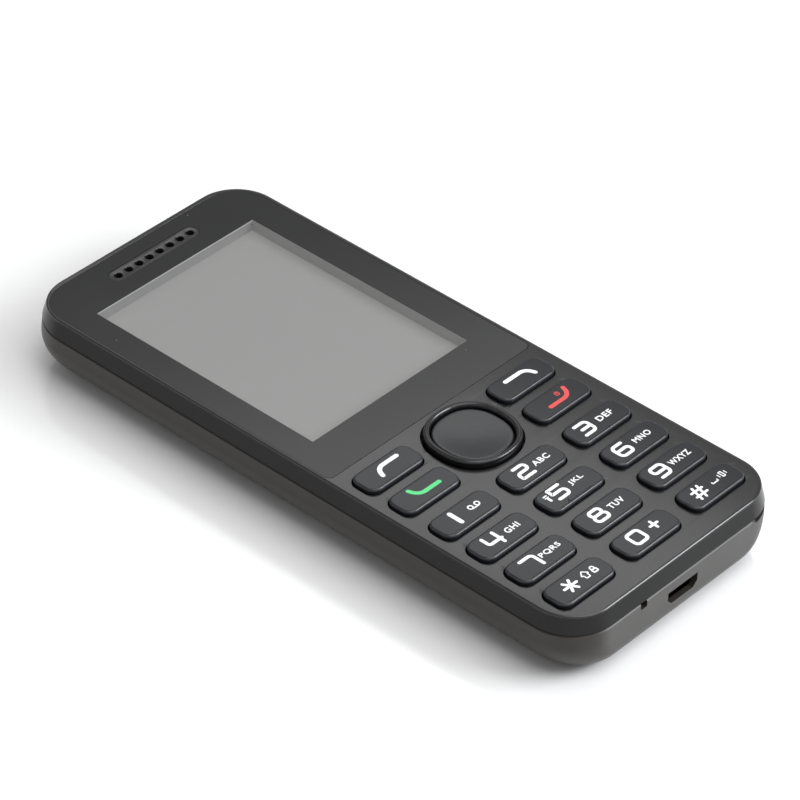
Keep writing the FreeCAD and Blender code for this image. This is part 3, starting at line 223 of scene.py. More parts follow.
def grain_group() -> bpy.types.NodeTree:
    """Moulded surface: fine noise for height, slow noise for shade and gloss.

    Returns:
        The node group.
    """
    slow_scale, fine_share = 55.0, 0.6
    w = GroupWiring("moulded_grain",
                    (("Vector", "Vector"), ("Colour", "Color"), ("Variation", "Float"),
                     ("Roughness", "Float"), ("Spread", "Float"), ("Fineness", "Float")),
                    (("Colour", "Color"), ("Roughness", "Float"), ("Height", "Float")))
    fine = w.noise(w.given["Fineness"], detail=3.0, roughness=0.6)
    slow = w.maths("SUBTRACT", w.noise(slow_scale, detail=5.0), 0.5)
    both = w.maths("ADD", slow, w.maths("MULTIPLY", w.maths("SUBTRACT", fine, 0.5), fine_share))
    shade_factor = w.maths("MULTIPLY_ADD", both, w.given["Variation"], 1.0)
    shaded = w.use("ShaderNodeVectorMath", {"operation": "SCALE"}, Scale=shade_factor)
    w.link(w.given["Colour"], shaded, 0)
    w.link(shaded.outputs[0], w.result, "Colour")
    w.link(w.maths("MULTIPLY_ADD", slow, w.given["Spread"], w.given["Roughness"]), w.result, "Roughness")
    w.link(fine, w.result, "Height")
    return w.tree


def dust_group() -> bpy.types.NodeTree:
    """Specks that settle on faces that look up.

    Returns:
        The node group.
    """
    cell_scale, speck, bare_share, dulling = 420.0, 0.055, 0.93, 0.4
    w = GroupWiring("settled_dust",
                    (("Vector", "Vector"), ("Colour", "Color"), ("Amount", "Float"), ("Roughness", "Float")),
                    (("Colour", "Color"), ("Roughness", "Float")))
    cells = w.use("ShaderNodeTexVoronoi", Vector=w.given["Vector"], Scale=cell_scale).outputs
    near = w.maths("LESS_THAN", cells["Distance"], speck)
    lot = w.use("ShaderNodeSeparateColor", Color=cells["Color"]).outputs[0]
    chosen = w.maths("MULTIPLY", near, w.maths("GREATER_THAN", lot, bare_share))
    upward = w.maths("MAXIMUM", w.facing()[2], 0.0)
    mask = w.maths("MULTIPLY", w.maths("MULTIPLY", chosen, upward), w.given["Amount"])
    w.link(w.blended(mask, DUST), w.result, "Colour")
    w.link(w.maths("MULTIPLY_ADD", mask, dulling, w.given["Roughness"]), w.result, "Roughness")
    return w.tree


def rub_group() -> bpy.types.NodeTree:
    """Paler rub along the edges that lie near one height.

    Returns:
        The node group.
    """
    patch_scale, patch_gain = 900.0, 2.0
    w = GroupWiring("rubbed_edge",
                    (("Vector", "Vector"), ("Colour", "Color"), ("Level", "Float"), ("Reach", "Float"),
                     ("Amount", "Float")),
                    (("Colour", "Color"),))
    height = w.axes(w.given["Vector"])[2]
    away = w.maths("ABSOLUTE", w.maths("SUBTRACT", height, w.given["Level"]))
    away = w.maths("DIVIDE", away, w.given["Reach"])
    closeness = w.maths("MAXIMUM", w.maths("SUBTRACT", 1.0, away), 0.0)
    slant = w.maths("SUBTRACT", 1.0, w.maths("ABSOLUTE", w.facing()[2]))
    patches = w.maths("MULTIPLY", w.noise(patch_scale), patch_gain)
    mask = w.maths("MULTIPLY", w.maths("MULTIPLY", closeness, slant), patches)
    w.link(w.blended(w.maths("MULTIPLY", mask, w.given["Amount"]), WORN_EDGE), w.result, "Colour")
    return w.tree


# Finishes.

# Tint of the painted glow: light given out by a surface that is no lamp. The display uses it in place of
# reflected studio light.
PAINTED_GLOW_TINT = (1.0, 1.0, 0.985, 1.0)
BRUSH_STRETCH = (0.08, 1.0, 1.0)


@dataclass(frozen=True)
class Finish:
    """One surface finish and the numbers that its material is built from."""

    name: str
    slot: str
    colour: Colour
    roughness: float
    variation: float = 0.12
    spread: float = 0.06
    fineness: float = 2600.0
    bump: float = 0.05
    bump_mm: float = 0.01
    metallic: float = 0.0
    coat: float = 0.0
    coat_roughness: float = 0.1
    specular: float = 0.5
    alpha: float = 1.0
    # Strength of a painted glow. It is nonzero only on the display, where it stands in for reflected studio
    # light.
    painted_glow: float = 0.0
    crown: float = 0.0
    dust: float = 0.0
    rub: float = 0.0
    rub_level_mm: float = 0.0
    rub_reach_mm: float = 0.3
    kind: Kind = Kind.MOULDED

    def build(self, groups: "ShaderGroups") -> bpy.types.Material:
        """Makes the material.

        Args:
            groups: the shader groups shared by all finishes.

        Returns:
            The material, with this finish's name.
        """
        material = bpy.data.materials.new(self.name)
        material.use_nodes = True
        w = Wiring(material.node_tree)
        shader = material.node_tree.nodes["Principled BSDF"]
        place = w.node("ShaderNodeTexCoord").outputs["Object"]
        stretch = BRUSH_STRETCH if self.kind is Kind.BRUSHED else (1.0, 1.0, 1.0)
        grain = w.use("ShaderNodeGroup", {"node_tree": groups.grain},
                      Vector=w.use("ShaderNodeMapping", Vector=place, Scale=stretch).outputs[0],
                      Colour=(*self.colour, 1.0), Variation=self.variation, Roughness=self.roughness,
                      Spread=self.spread, Fineness=self.fineness).outputs
        colour, roughness = grain["Colour"], grain["Roughness"]
        if self.rub:
            colour = w.use("ShaderNodeGroup", {"node_tree": groups.rub}, Vector=place, Colour=colour,
                           Level=self.rub_level_mm * MM, Reach=self.rub_reach_mm * MM,
                           Amount=self.rub).outputs["Colour"]
        if self.dust:
            dusted = w.use("ShaderNodeGroup", {"node_tree": groups.dust}, Vector=place, Colour=colour,
                           Roughness=roughness, Amount=self.dust).outputs
            colour, roughness = dusted["Colour"], dusted["Roughness"]
        bump = w.use("ShaderNodeBump", Strength=self.bump, Distance=self.bump_mm * MM, Height=grain["Height"])
        if self.crown:
            across = w.axes(place)[0]
            arch = w.maths("MULTIPLY", w.maths("MULTIPLY", across, across), -self.crown / 2)
            w.link(w.use("ShaderNodeBump", Distance=1.0, Height=arch).outputs[0], bump, "Normal")
        for label, source in (("Base Color", colour), ("Roughness", roughness), ("Normal", bump.outputs[0])):
            w.link(source, shader, label)
        # Emission here is painted light: a glow on a surface that is no lamp.
        for label, value in (("Metallic", self.metallic), ("Coat Weight", self.coat),
                             ("Coat Roughness", self.coat_roughness), ("Specular IOR Level", self.specular),
                             ("Alpha", self.alpha), ("Emission Color", PAINTED_GLOW_TINT),
                             ("Emission Strength", self.painted_glow)):
            shader.inputs[label].default_value = value
        return material


class ShaderGroups:
    """The node groups that the finishes share."""

    def __init__(self) -> None:
        """Builds each group once."""
        self.grain = grain_group()
        self.dust = dust_group()
        self.rub = rub_group()


FACE = 12.2
FINISHES = (
    Finish("deck_plastic", "front_case", (0.012, 0.012, 0.012), 0.24, fineness=5200.0, bump=0.1, dust=0.2,
           specular=0.65, crown=3.7, rub=0.12, rub_level_mm=FACE, rub_reach_mm=0.35),
    Finish("window_print", "window_glass", (0.0095, 0.0097, 0.010), 0.18, variation=0.05, bump=0.0,
           specular=0.42, dust=0.2),
    Finish("window_clear", "window_glass", (0.02, 0.02, 0.02), 0.22, variation=0.05, spread=0.02, bump=0.0,
           alpha=0.15, specular=0.55),
    Finish("frame_print", "black_adhesive", (0.02, 0.02, 0.021), 0.6),
    # The display is switched off. The glow on its border, active area and edge strip is painted light: a
    # painted reflection of the studio that also lifts the shade in the window's recess. The bright edge strip
    # is a painted highlight.
    Finish("display_border_painted_glow", "display_glass", (0.20, 0.20, 0.198), 0.45, variation=0.05, bump=0.0, painted_glow=0.125),
    Finish("display_active_painted_glow", "display_glass", (0.20, 0.201, 0.197), 0.4, variation=0.03, bump=0.0, painted_glow=0.21),
    Finish("display_edge_painted_highlight", "display_glass", (0.45, 0.46, 0.47), 0.3, variation=0.05, bump=0.0, painted_glow=0.15),
    Finish("insert_plastic", "grille_plastic", (0.010, 0.010, 0.0105), 0.26, bump=0.0, specular=0.7,
           dust=0.2),
    Finish("key_plastic", "keycap", (0.0115, 0.0126, 0.0158), 0.27, specular=0.42, crown=3.8,
           fineness=5200.0, bump=0.12, dust=0.4, rub=0.35, rub_level_mm=13.0, rub_reach_mm=0.35),
    Finish("ring_plastic", "ring_gloss", (0.006, 0.006, 0.0068), 0.2, variation=0.06, bump=0.0, specular=0.4,
           coat=0.05, coat_roughness=0.15, dust=0.2, rub=0.3, rub_level_mm=13.4, rub_reach_mm=0.3),
    Finish("select_plastic", "select_key", (0.013, 0.0136, 0.0152), 0.27, specular=0.5, bump=0.05, dust=0.4),
    Finish("legend_white", "keycap", (0.86, 0.87, 0.88), 0.45, variation=0.04),
    Finish("legend_green", "keycap", (0.10, 0.62, 0.22), 0.45, variation=0.04),
    Finish("legend_red", "keycap", (0.66, 0.07, 0.07), 0.45, variation=0.04),
    Finish("cover_plastic", "rear_case", (0.027, 0.0235, 0.0205), 0.36, fineness=4200.0, bump=0.06, dust=0.1,
           specular=0.4),
    Finish("inner_white", "white_plastic", (0.78, 0.78, 0.75), 0.5),
    Finish("amber_film", "flex_film", (0.42, 0.21, 0.05), 0.35, variation=0.2),
    Finish("mat_silicone", "soft_rubber", (0.09, 0.09, 0.10), 0.75, variation=0.08),
    Finish("chassis_plastic", "inner_plastic", (0.035, 0.035, 0.036), 0.55, bump=0.12),
    Finish("board_mask", "circuit_board", (0.02, 0.11, 0.055), 0.32, variation=0.35, coat=0.4),
    Finish("nickel_plate", "plated_steel", (0.56, 0.56, 0.55), 0.30, metallic=1.0, variation=0.08,
           kind=Kind.BRUSHED),
    Finish("speaker_plastic", "speaker_black", (0.024, 0.024, 0.026), 0.5),
    Finish("camera_pane", "camera_glass", (0.012, 0.012, 0.016), 0.06, variation=0.05, bump=0.0, coat=1.0,
           coat_roughness=0.02),
    Finish("torch_dome", "torch_lens", (0.80, 0.78, 0.66), 0.12, variation=0.05, bump=0.0, coat=0.8),
    Finish("cell_wrap", "battery_wrap", (0.10, 0.10, 0.11), 0.38, variation=0.1),
    Finish("gold_contact", "plated_steel", (0.78, 0.56, 0.24), 0.24, metallic=1.0, variation=0.06),
    Finish("cloth_thread", "speaker_cloth", (0.03, 0.03, 0.031), 0.85, variation=0.3),
    Finish("backing_film", "speaker_cloth", (0.012, 0.012, 0.012), 0.9, variation=0.2),
)


class FinishRack:
    """Every material by name, with the record's slot that each belongs to."""

    def __init__(self) -> None:
        """Builds all finishes once."""
        groups = ShaderGroups()
        self.materials = {finish.name: finish.build(groups) for finish in FINISHES}
        self.slots = {finish.name: finish.slot for finish in FINISHES}

    def dress(self, piece: bpy.types.Object, *names: str) -> None:
        """Gives a piece its materials.

        Args:
            piece: the piece.
            names: its finishes in slot order.
        """
        for name in names:
            piece.data.materials.append(self.materials[name])

    def repaint(self, node: bpy.types.Object, name: str) -> None:
        """Puts a finish on a CAD node's own material slots.

        Args:
            node: the node's object.
            name: the finish.
        """
        if not node.material_slots:
            node.data.materials.append(self.materials[name])
        for slot in node.material_slots:
            slot.material = self.materials[name]


# Outlines, in millimetres, anticlockwise seen from above.

LEAST_CORNER = 0.5
LEAST_RADIUS = 0.001
HAIR_SIDE = 0.01
CASE_CHORDS = 16


def corner_arc(x: float, y: float, radius: float, start: float, steps: int) -> Loop:
    """Quarter turn from start degrees.

    Args:
        x: the arc's centre.
        y: the arc's centre.
        radius: its radius.
        start: its first angle in degrees.
        steps: how many chords it gets.

    Returns:
        Its points, both ends among them.
    """
    turns = [math.radians(start + 90 * index / steps) for index in range(steps + 1)]
    return [(x + radius * math.cos(turn), y + radius * math.sin(turn)) for turn in turns]


def arched(half: float, bottom: float, top: float, foot: float, head: float, steps: int = 10) -> Loop:
    """Loop centred on X with one radius at its two lower corners and another at its upper ones.

    Args:
        half: half its width.
        bottom: its lower end.
        top: its upper end.
        foot: the radius of its lower corners.
        head: the radius of its upper corners.
        steps: chords per corner.

    Returns:
        The loop.
    """
    foot, head = max(foot, LEAST_RADIUS), max(head, LEAST_RADIUS)
    return (corner_arc(half - foot, bottom + foot, foot, 270, steps)
            + corner_arc(half - head, top - head, head, 0, steps)
            + corner_arc(head - half, top - head, head, 90, steps)
            + corner_arc(foot - half, bottom + foot, foot, 180, steps))


def rounded(width: float, length: float, radius: float, x: float = 0.0, y: float = 0.0,
            steps: int = 10) -> Loop:
    """Rounded rectangle about (x, y)."""
    loop = arched(width / 2, -length / 2, length / 2, radius, radius, steps)
    return [(px + x, py + y) for px, py in loop]


CaseOutline = tuple[float, float, float, float, float, float]


def case_loop(sizes: Sequence[float], inset: float = 0.0) -> Loop:
    """Loop from half width, shift along X, near end, far end, near corner and far corner.

    Args:
        sizes: these six, in millimetres.
        inset: how far the loop lies inside them.

    Returns:
        The loop.
    """
    half, shift, near, far, foot, head = sizes
    loop = arched(half - inset, near + inset, far - inset, max(foot - inset, LEAST_CORNER),
                  max(head - inset, LEAST_CORNER), CASE_CHORDS)
    return [(x + shift, y) for x, y in loop]


def squircle(width: float, length: float, power: float, y: float, count: int = 96) -> Loop:
    """Superellipse centred on X.

    Args:
        width: its width.
        length: its length.
        power: 2 for an ellipse, more for a squarer loop.
        y: its middle.
        count: how many points it gets.

    Returns:
        The loop.
    """
    loop = []
    for index in range(count):
        turn = 2 * math.pi * index / count
        c, s = math.cos(turn), math.sin(turn)
        loop.append((width / 2 * math.copysign(abs(c) ** (2 / power), c),
                     y + length / 2 * math.copysign(abs(s) ** (2 / power), s)))
    return loop


def round_over(radius: float, steps: int) -> list[tuple[float, float]]:
    """Inset and drop below the top of each step of a rounded edge, from the side up to the top."""
    turns = [math.pi / 2 * index / steps for index in range(steps + 1)]
    return [(radius * (1 - math.cos(turn)), radius * (1 - math.sin(turn))) for turn in turns]


def cleaned(mesh: bpy.types.Mesh, merge: float = 0.0, sliver: float = 0.0, outward: bool = True) -> None:
    """Merges what lies together in a mesh and turns its faces outwards.

    Args:
        mesh: the mesh, changed in place.
        merge: the distance in metres under which points become one, 0 for none.
        sliver: the length in metres under which an edge is dissolved, 0 for none.
        outward: True to turn all faces of closed shapes outwards.
    """
    work = bmesh.new()
    work.from_mesh(mesh)
    if merge:
        bmesh.ops.remove_doubles(work, verts=work.verts, dist=merge)
    if sliver:
        bmesh.ops.dissolve_degenerate(work, edges=work.edges, dist=sliver)
    if outward:
        bmesh.ops.recalc_face_normals(work, faces=work.faces)
    work.to_mesh(mesh)
    work.free()


class MeshMaker:
    """Collects loops of points and the faces between them."""

    def __init__(self) -> None:
        """Starts with nothing."""
        self.points: list[Triple] = []
        self.faces: list[tuple[int, ...]] = []
        self.paints: list[int] = []
        self.paint = 0
        self.layers = 0

    def loop(self, outline: Iterable[Point], z: float) -> list[int]:
        """Adds a level loop.

        Args:
            outline: its points.
            z: its height.

        Returns:
            The numbers of its points.
        """
        start = len(self.points)
        self.points.extend((x, y, z) for x, y in outline)
        return list(range(start, len(self.points)))

    def face(self, *corners: int) -> None:
        """Adds a face in the current paint."""
        self.faces.append(tuple(corners))
        self.paints.append(self.paint)

    def bridge(self, lower: Sequence[int], upper: Sequence[int], closed: bool = True) -> None:
        """Joins two loops of the same count with a band of quads.

        Args:
            lower: point numbers of one loop.
            upper: point numbers of the other.
            closed: False to leave the last point apart from the first.
        """
        count = len(lower)
        for index in range(count if closed else count - 1):
            after = (index + 1) % count
            self.face(lower[index], lower[after], upper[after], upper[index])

    def cap(self, outer: Sequence[int], holes: Sequence[Sequence[int]] = ()) -> None:
        """Fills a level loop.

        Args:
            outer: its point numbers.
            holes: point numbers of the loops that stay open in it.
        """
        rings = [list(outer)] + [list(hole) for hole in holes]
        order = [number for ring in rings for number in ring]
        flat = [[Vector((*self.points[number][:2], 0.0)) for number in ring] for ring in rings]
        for triangle in tessellate_polygon(flat):
            self.face(*(order[corner] for corner in triangle))

    def closed(self, outlines: Sequence[tuple[Iterable[Point], float]]) -> None:
        """Stacks loops and fills the first and the last.

        Args:
            outlines: pairs of a loop and its height.
        """
        rings = self.stack(outlines)
        self.cap(rings[0])
        self.cap(rings[-1])

    def stack(self, outlines: Sequence[tuple[Iterable[Point], float]]) -> list[list[int]]:
        """Adds loops from first to last and bridges each to the next.

        Args:
            outlines: pairs of a loop and its height.

        Returns:
            The point numbers of every loop.
        """
        rings = [self.loop(outline, z) for outline, z in outlines]
        for lower, upper in zip(rings, rings[1:]):
            self.bridge(lower, upper)
        return rings

    def build(self, name: str, sharp: float = 32.0, outward: bool = True) -> bpy.types.Object:
        """Turns what was collected into an object at the origin.

        Args:
            name: the piece's name.
            sharp: the angle in degrees past which an edge is creased.
            outward: True to turn all faces of a closed shape outwards.

        Returns:
            The new object.
        """
        mesh = bpy.data.meshes.new(name)
        mesh.from_pydata([(x * MM, y * MM, z * MM) for x, y, z in self.points], [], self.faces)
        mesh.polygons.foreach_set("material_index", self.paints)
        cleaned(mesh, merge=1e-7, sliver=1e-8, outward=outward)
        piece = bpy.data.objects.new(name, mesh)
        bpy.context.scene.collection.objects.link(piece)
        shade(piece, sharp)
        return piece


def shade(piece: bpy.types.Object, sharp: float) -> None:
    """Smooth shading that keeps flat faces flat.

    Args:
        piece: the piece.
        sharp: the angle in degrees past which an edge is creased.
    """
    piece.data.polygons.foreach_set("use_smooth", [True] * len(piece.data.polygons))
    piece.data.set_sharp_from_angle(angle=math.radians(sharp))
    keep = piece.modifiers.new("flat_faces", "WEIGHTED_NORMAL")
    keep.keep_sharp = True
    keep.weight = 100


def prism(outline: Loop, bottom: float, top: float, name: str) -> bpy.types.Object:
    """Straight-sided upright block, used to cut with.

    Args:
        outline: its section.
        bottom: its lower end.
        top: its upper end.
        name: its name.

    Returns:
        The block.
    """
    maker = MeshMaker()
    maker.closed([(outline, bottom), (outline, top)])
    return maker.build(name)


def bored(outline: Loop, start: float, end: float, z: float, name: str) -> bpy.types.Object:
    """Block along Y, used to cut with.

    Args:
        outline: its section, drawn in X and Z about height z.
        start: its lower end along Y.
        end: its upper end along Y.
        z: the height of its middle.
        name: its name.

    Returns:
        The block.
    """
    block = prism(outline, 0.0, end - start, name)
    block.data.transform(Matrix(((1, 0, 0, 0), (0, 0, 1, start * MM), (0, 1, 0, z * MM), (0, 0, 0, 1))))
    cleaned(block.data)
    return block


def cut_away(piece: bpy.types.Object, cutters: Sequence[bpy.types.Object]) -> None:
    """Cuts blocks out of a piece and deletes them.

    Args:
        piece: the piece.
        cutters: the blocks.
    """
    for cutter in cutters:
        change = piece.modifiers.new(cutter.name, "BOOLEAN")
        change.operation = "DIFFERENCE"
        change.object = cutter
        change.solver = "EXACT"
    apply_modifiers(piece)
    for cutter in cutters:
        bpy.data.objects.remove(cutter, do_unlink=True)


def evaluated_mesh(piece: bpy.types.Object) -> bpy.types.Mesh:
    """Plain mesh of what an object's modifiers or text give."""
    bpy.context.view_layer.update()
    return bpy.data.meshes.new_from_object(piece.evaluated_get(bpy.context.evaluated_depsgraph_get()))


def apply_modifiers(piece: bpy.types.Object) -> None:
    """Replaces a piece's mesh by what its modifiers give, and removes them.

    Args:
        piece: the piece.
    """
    done = evaluated_mesh(piece)
    piece.modifiers.clear()
    piece.data = done


# Geometry node trees for what repeats.


class Tree(Wiring):
    """A geometry node tree with named inputs, run once on an empty mesh."""

    def __init__(self, name: str, inputs: Sockets) -> None:
        """Starts the tree.

        Args:
            name: the tree's name.
            inputs: names and kinds of its inputs.
        """
        super().__init__(bpy.data.node_groups.new(name, "GeometryNodeTree"))
        group_socket(self.tree, "Geometry", "Geometry")
        group_socket(self.tree, "Geometry", "Geometry", inward=False)
        for label, kind in inputs:
            group_socket(self.tree, label, kind)
        self.given = self.node("NodeGroupInput").outputs
        self.result = self.node("NodeGroupOutput")

    def point(self, x: object = 0.0, y: object = 0.0, z: object = 0.0) -> bpy.types.NodeSocket:
        """Combines three sockets or numbers into a vector."""
        return self.use("ShaderNodeCombineXYZ", X=x, Y=y, Z=z).outputs[0]

    def share(self, value: bpy.types.NodeSocket, part: object) -> bpy.types.NodeSocket:
        """Multiplies a socket by a number or a socket."""
        return self.maths("MULTIPLY", value, part)

    def place(self) -> bpy.types.NodeOutputs:
        """Each point's place in three parts."""
        return self.axes(self.use("GeometryNodeInputPosition").outputs[0])

    def joined(self, *sources: bpy.types.NodeSocket) -> bpy.types.NodeSocket:
        """Joins geometries into one.

        Args:
            sources: the geometries.

        Returns:
            The joined geometry.
        """
        both = self.use("GeometryNodeJoinGeometry")
        for source in sources:
            self.link(source, both, 0)
        return both.outputs[0]

    def moved(self, source: bpy.types.NodeSocket, shift: bpy.types.NodeSocket) -> bpy.types.NodeSocket:
        """Moves a geometry by a vector."""
        return self.use("GeometryNodeTransform", Geometry=source, Translation=shift).outputs[0]

    def copies(self, points: bpy.types.NodeSocket, piece: bpy.types.NodeSocket) -> bpy.types.NodeSocket:
        """Puts a copy of a geometry on every point."""
        return self.use("GeometryNodeInstanceOnPoints", Points=points, Instance=piece).outputs[0]

    def finish(self, source: bpy.types.NodeSocket) -> None:
        """Realizes the instances, sets the material and ends the tree.

        Args:
            source: the whole geometry.
        """
        real = self.use("GeometryNodeRealizeInstances", Geometry=source)
        painted = self.use("GeometryNodeSetMaterial", Geometry=real.outputs[0],
                           Material=self.given["Material"])
        self.link(painted.outputs[0], self.result, "Geometry")

    def run(self, name: str, points: Sequence[Triple] = (), **values: object) -> bpy.types.Object:
        """Evaluates the tree on a mesh of loose points and keeps the plain result.

        Args:
            name: the piece's name.
            points: places in millimetres for the trees that need them.
            values: the inputs by name, with _ for a space.

        Returns:
            The finished piece at the origin.
        """
        seed = bpy.data.meshes.new(f"{name}_seed")
        seed.from_pydata([(x * MM, y * MM, z * MM) for x, y, z in points], [], [])
        piece = bpy.data.objects.new(name, seed)
        bpy.context.scene.collection.objects.link(piece)
        change = piece.modifiers.new("tree", "NODES")
        change.node_group = self.tree
        sockets = {item.name: item.identifier for item in self.tree.interface.items_tree
                   if item.in_out == "INPUT"}
        for label, value in values.items():
            change[sockets[label.replace("_", " ")]] = value
        apply_modifiers(piece)
        cleaned(piece.data, merge=1e-8)
        shade(piece, 32.0)
        return piece


# Shares of an eased edge's height: a quarter round in four chords.
EASE = (0.383, 0.324, 0.217, 0.076)


def perforated_tree() -> Tree:
    """Stadium insert with a row of round holes whose upper edges are eased.

    Returns:
        The tree.
    """
    end_share, end_chords, hole_chords, hole_reach = 0.495, 12, 28, 1.02
    tree = Tree("perforated_insert", (("Width", "Float"), ("Length", "Float"), ("Thickness", "Float"),
                                      ("Edge", "Float"), ("Hole Radius", "Float"), ("Pitch", "Float"),
                                      ("Count", "Int"), ("Place", "Vector"), ("Material", "Material")))
    g = tree.given
    block = tree.use("GeometryNodeCurvePrimitiveQuadrilateral", Width=g["Width"], Height=g["Length"])
    stadium = tree.use("GeometryNodeFilletCurve", {"mode": "POLY"}, Curve=block.outputs[0],
                       Radius=tree.share(g["Length"], end_share), Count=end_chords)
    half = tree.share(tree.maths("SUBTRACT", g["Count"], 1.0), 0.5)
    first = tree.share(tree.share(g["Pitch"], half), -1.0)
    row = tree.use("GeometryNodeMeshLine", Count=g["Count"], Start_Location=tree.point(first),
                   Offset=tree.point(g["Pitch"]))
    ring = tree.use("GeometryNodeCurvePrimitiveCircle", Resolution=hole_chords, Radius=g["Hole Radius"])
    real = tree.use("GeometryNodeRealizeInstances", Geometry=tree.copies(row.outputs[0], ring.outputs[0]))
    plate = tree.use("GeometryNodeFillCurve", Curve=tree.joined(stadium.outputs[0], real.outputs[0]))
    foot = tree.maths("SUBTRACT", g["Thickness"], g["Edge"])
    solid, top = plate.outputs[0], True
    for step in [foot] + [tree.share(g["Edge"], share) for share in EASE]:
        raised = tree.use("GeometryNodeExtrudeMesh", Mesh=solid, Selection=top,
                          Offset=tree.point(0.0, 0.0, 1.0), Offset_Scale=step, Individual=False)
        solid, top = raised.outputs["Mesh"], raised.outputs["Top"]
    under = tree.use("GeometryNodeFlipFaces", Mesh=plate.outputs[0])
    closed = tree.joined(solid, under.outputs[0])
    x, y, z = tree.place()
    cell = tree.maths("ADD", tree.maths("DIVIDE", x, g["Pitch"]), half)
    along = tree.share(tree.maths("SUBTRACT", cell, tree.maths("ROUND", cell)), g["Pitch"])
    radius = tree.maths("SQRT", tree.maths("ADD", tree.share(along, along), tree.share(y, y)))
    height = tree.maths("DIVIDE", tree.maths("SUBTRACT", z, foot), g["Edge"])
    height = tree.maths("MINIMUM", tree.maths("MAXIMUM", height, 0.0), 1.0)
    round_part = tree.maths("SQRT", tree.maths("SUBTRACT", 1.0, tree.share(height, height)))
    inset = tree.maths("SUBTRACT", 1.0, round_part)
    push = tree.maths("DIVIDE", tree.share(inset, g["Edge"]), radius)
    near = tree.use("FunctionNodeCompare", {"data_type": "FLOAT", "operation": "LESS_THAN"}, A=radius,
                    B=tree.share(g["Hole Radius"], hole_reach))
    eased = tree.use("GeometryNodeSetPosition", Geometry=closed, Selection=near.outputs[0],
                     Offset=tree.point(tree.share(along, push), tree.share(y, push)))
    tree.finish(tree.moved(eased.outputs[0], g["Place"]))
    return tree


def screw_tree() -> Tree:
    """Cross-recess screws on points, heads down.

    Returns:
        The tree.
    """
    head_sides, shank_sides, blade_share = 24, 16, 0.34
    tree = Tree("chassis_screw", (("Head Radius", "Float"), ("Head Height", "Float"),
                                  ("Shank Radius", "Float"), ("Shank Length", "Float"),
                                  ("Material", "Material")))
    g = tree.given
    head = tree.use("GeometryNodeMeshCylinder", Vertices=head_sides, Radius=g["Head Radius"],
                    Depth=g["Head Height"])
    sunk = tree.moved(head.outputs[0], tree.point(0.0, 0.0, tree.share(g["Head Height"], -0.5)))
    blade = tree.share(g["Head Radius"], blade_share)
    arms = []
    for wide, long in ((g["Head Radius"], blade), (blade, g["Head Radius"])):
        arm = tree.use("GeometryNodeMeshCube", Size=tree.point(wide, long, g["Head Height"]))
        arms.append(tree.moved(arm.outputs[0], tree.point(0.0, 0.0, tree.share(g["Head Height"], -1.0))))
    cut = tree.use("GeometryNodeMeshBoolean", {"operation": "DIFFERENCE"})
    tree.link(sunk, cut, "Mesh 1")
    tree.link(tree.joined(*arms), cut, "Mesh 2")
    shank = tree.use("GeometryNodeMeshCylinder", Vertices=shank_sides, Radius=g["Shank Radius"],
                     Depth=g["Shank Length"])
    high = tree.moved(shank.outputs[0], tree.point(0.0, 0.0, tree.share(g["Shank Length"], 0.5)))
    tree.finish(tree.copies(g["Geometry"], tree.joined(cut.outputs[0], high)))
    return tree


def strip_tree() -> Tree:
    """Row of flat contact strips.

    Returns:
        The tree.
    """
    tree = Tree("contact_strip", (("Size", "Vector"), ("Pitch", "Float"), ("Count", "Int"),
                                  ("Place", "Vector"), ("Material", "Material")))
    g = tree.given
    reach = tree.share(g["Pitch"], tree.maths("SUBTRACT", g["Count"], 1.0))
    row = tree.use("GeometryNodeMeshLine", Count=g["Count"],
                   Start_Location=tree.point(tree.share(reach, -0.5)), Offset=tree.point(g["Pitch"]))
    strip = tree.use("GeometryNodeMeshCube", Size=g["Size"])
    tree.finish(tree.moved(tree.copies(row.outputs[0], strip.outputs[0]), g["Place"]))
    return tree


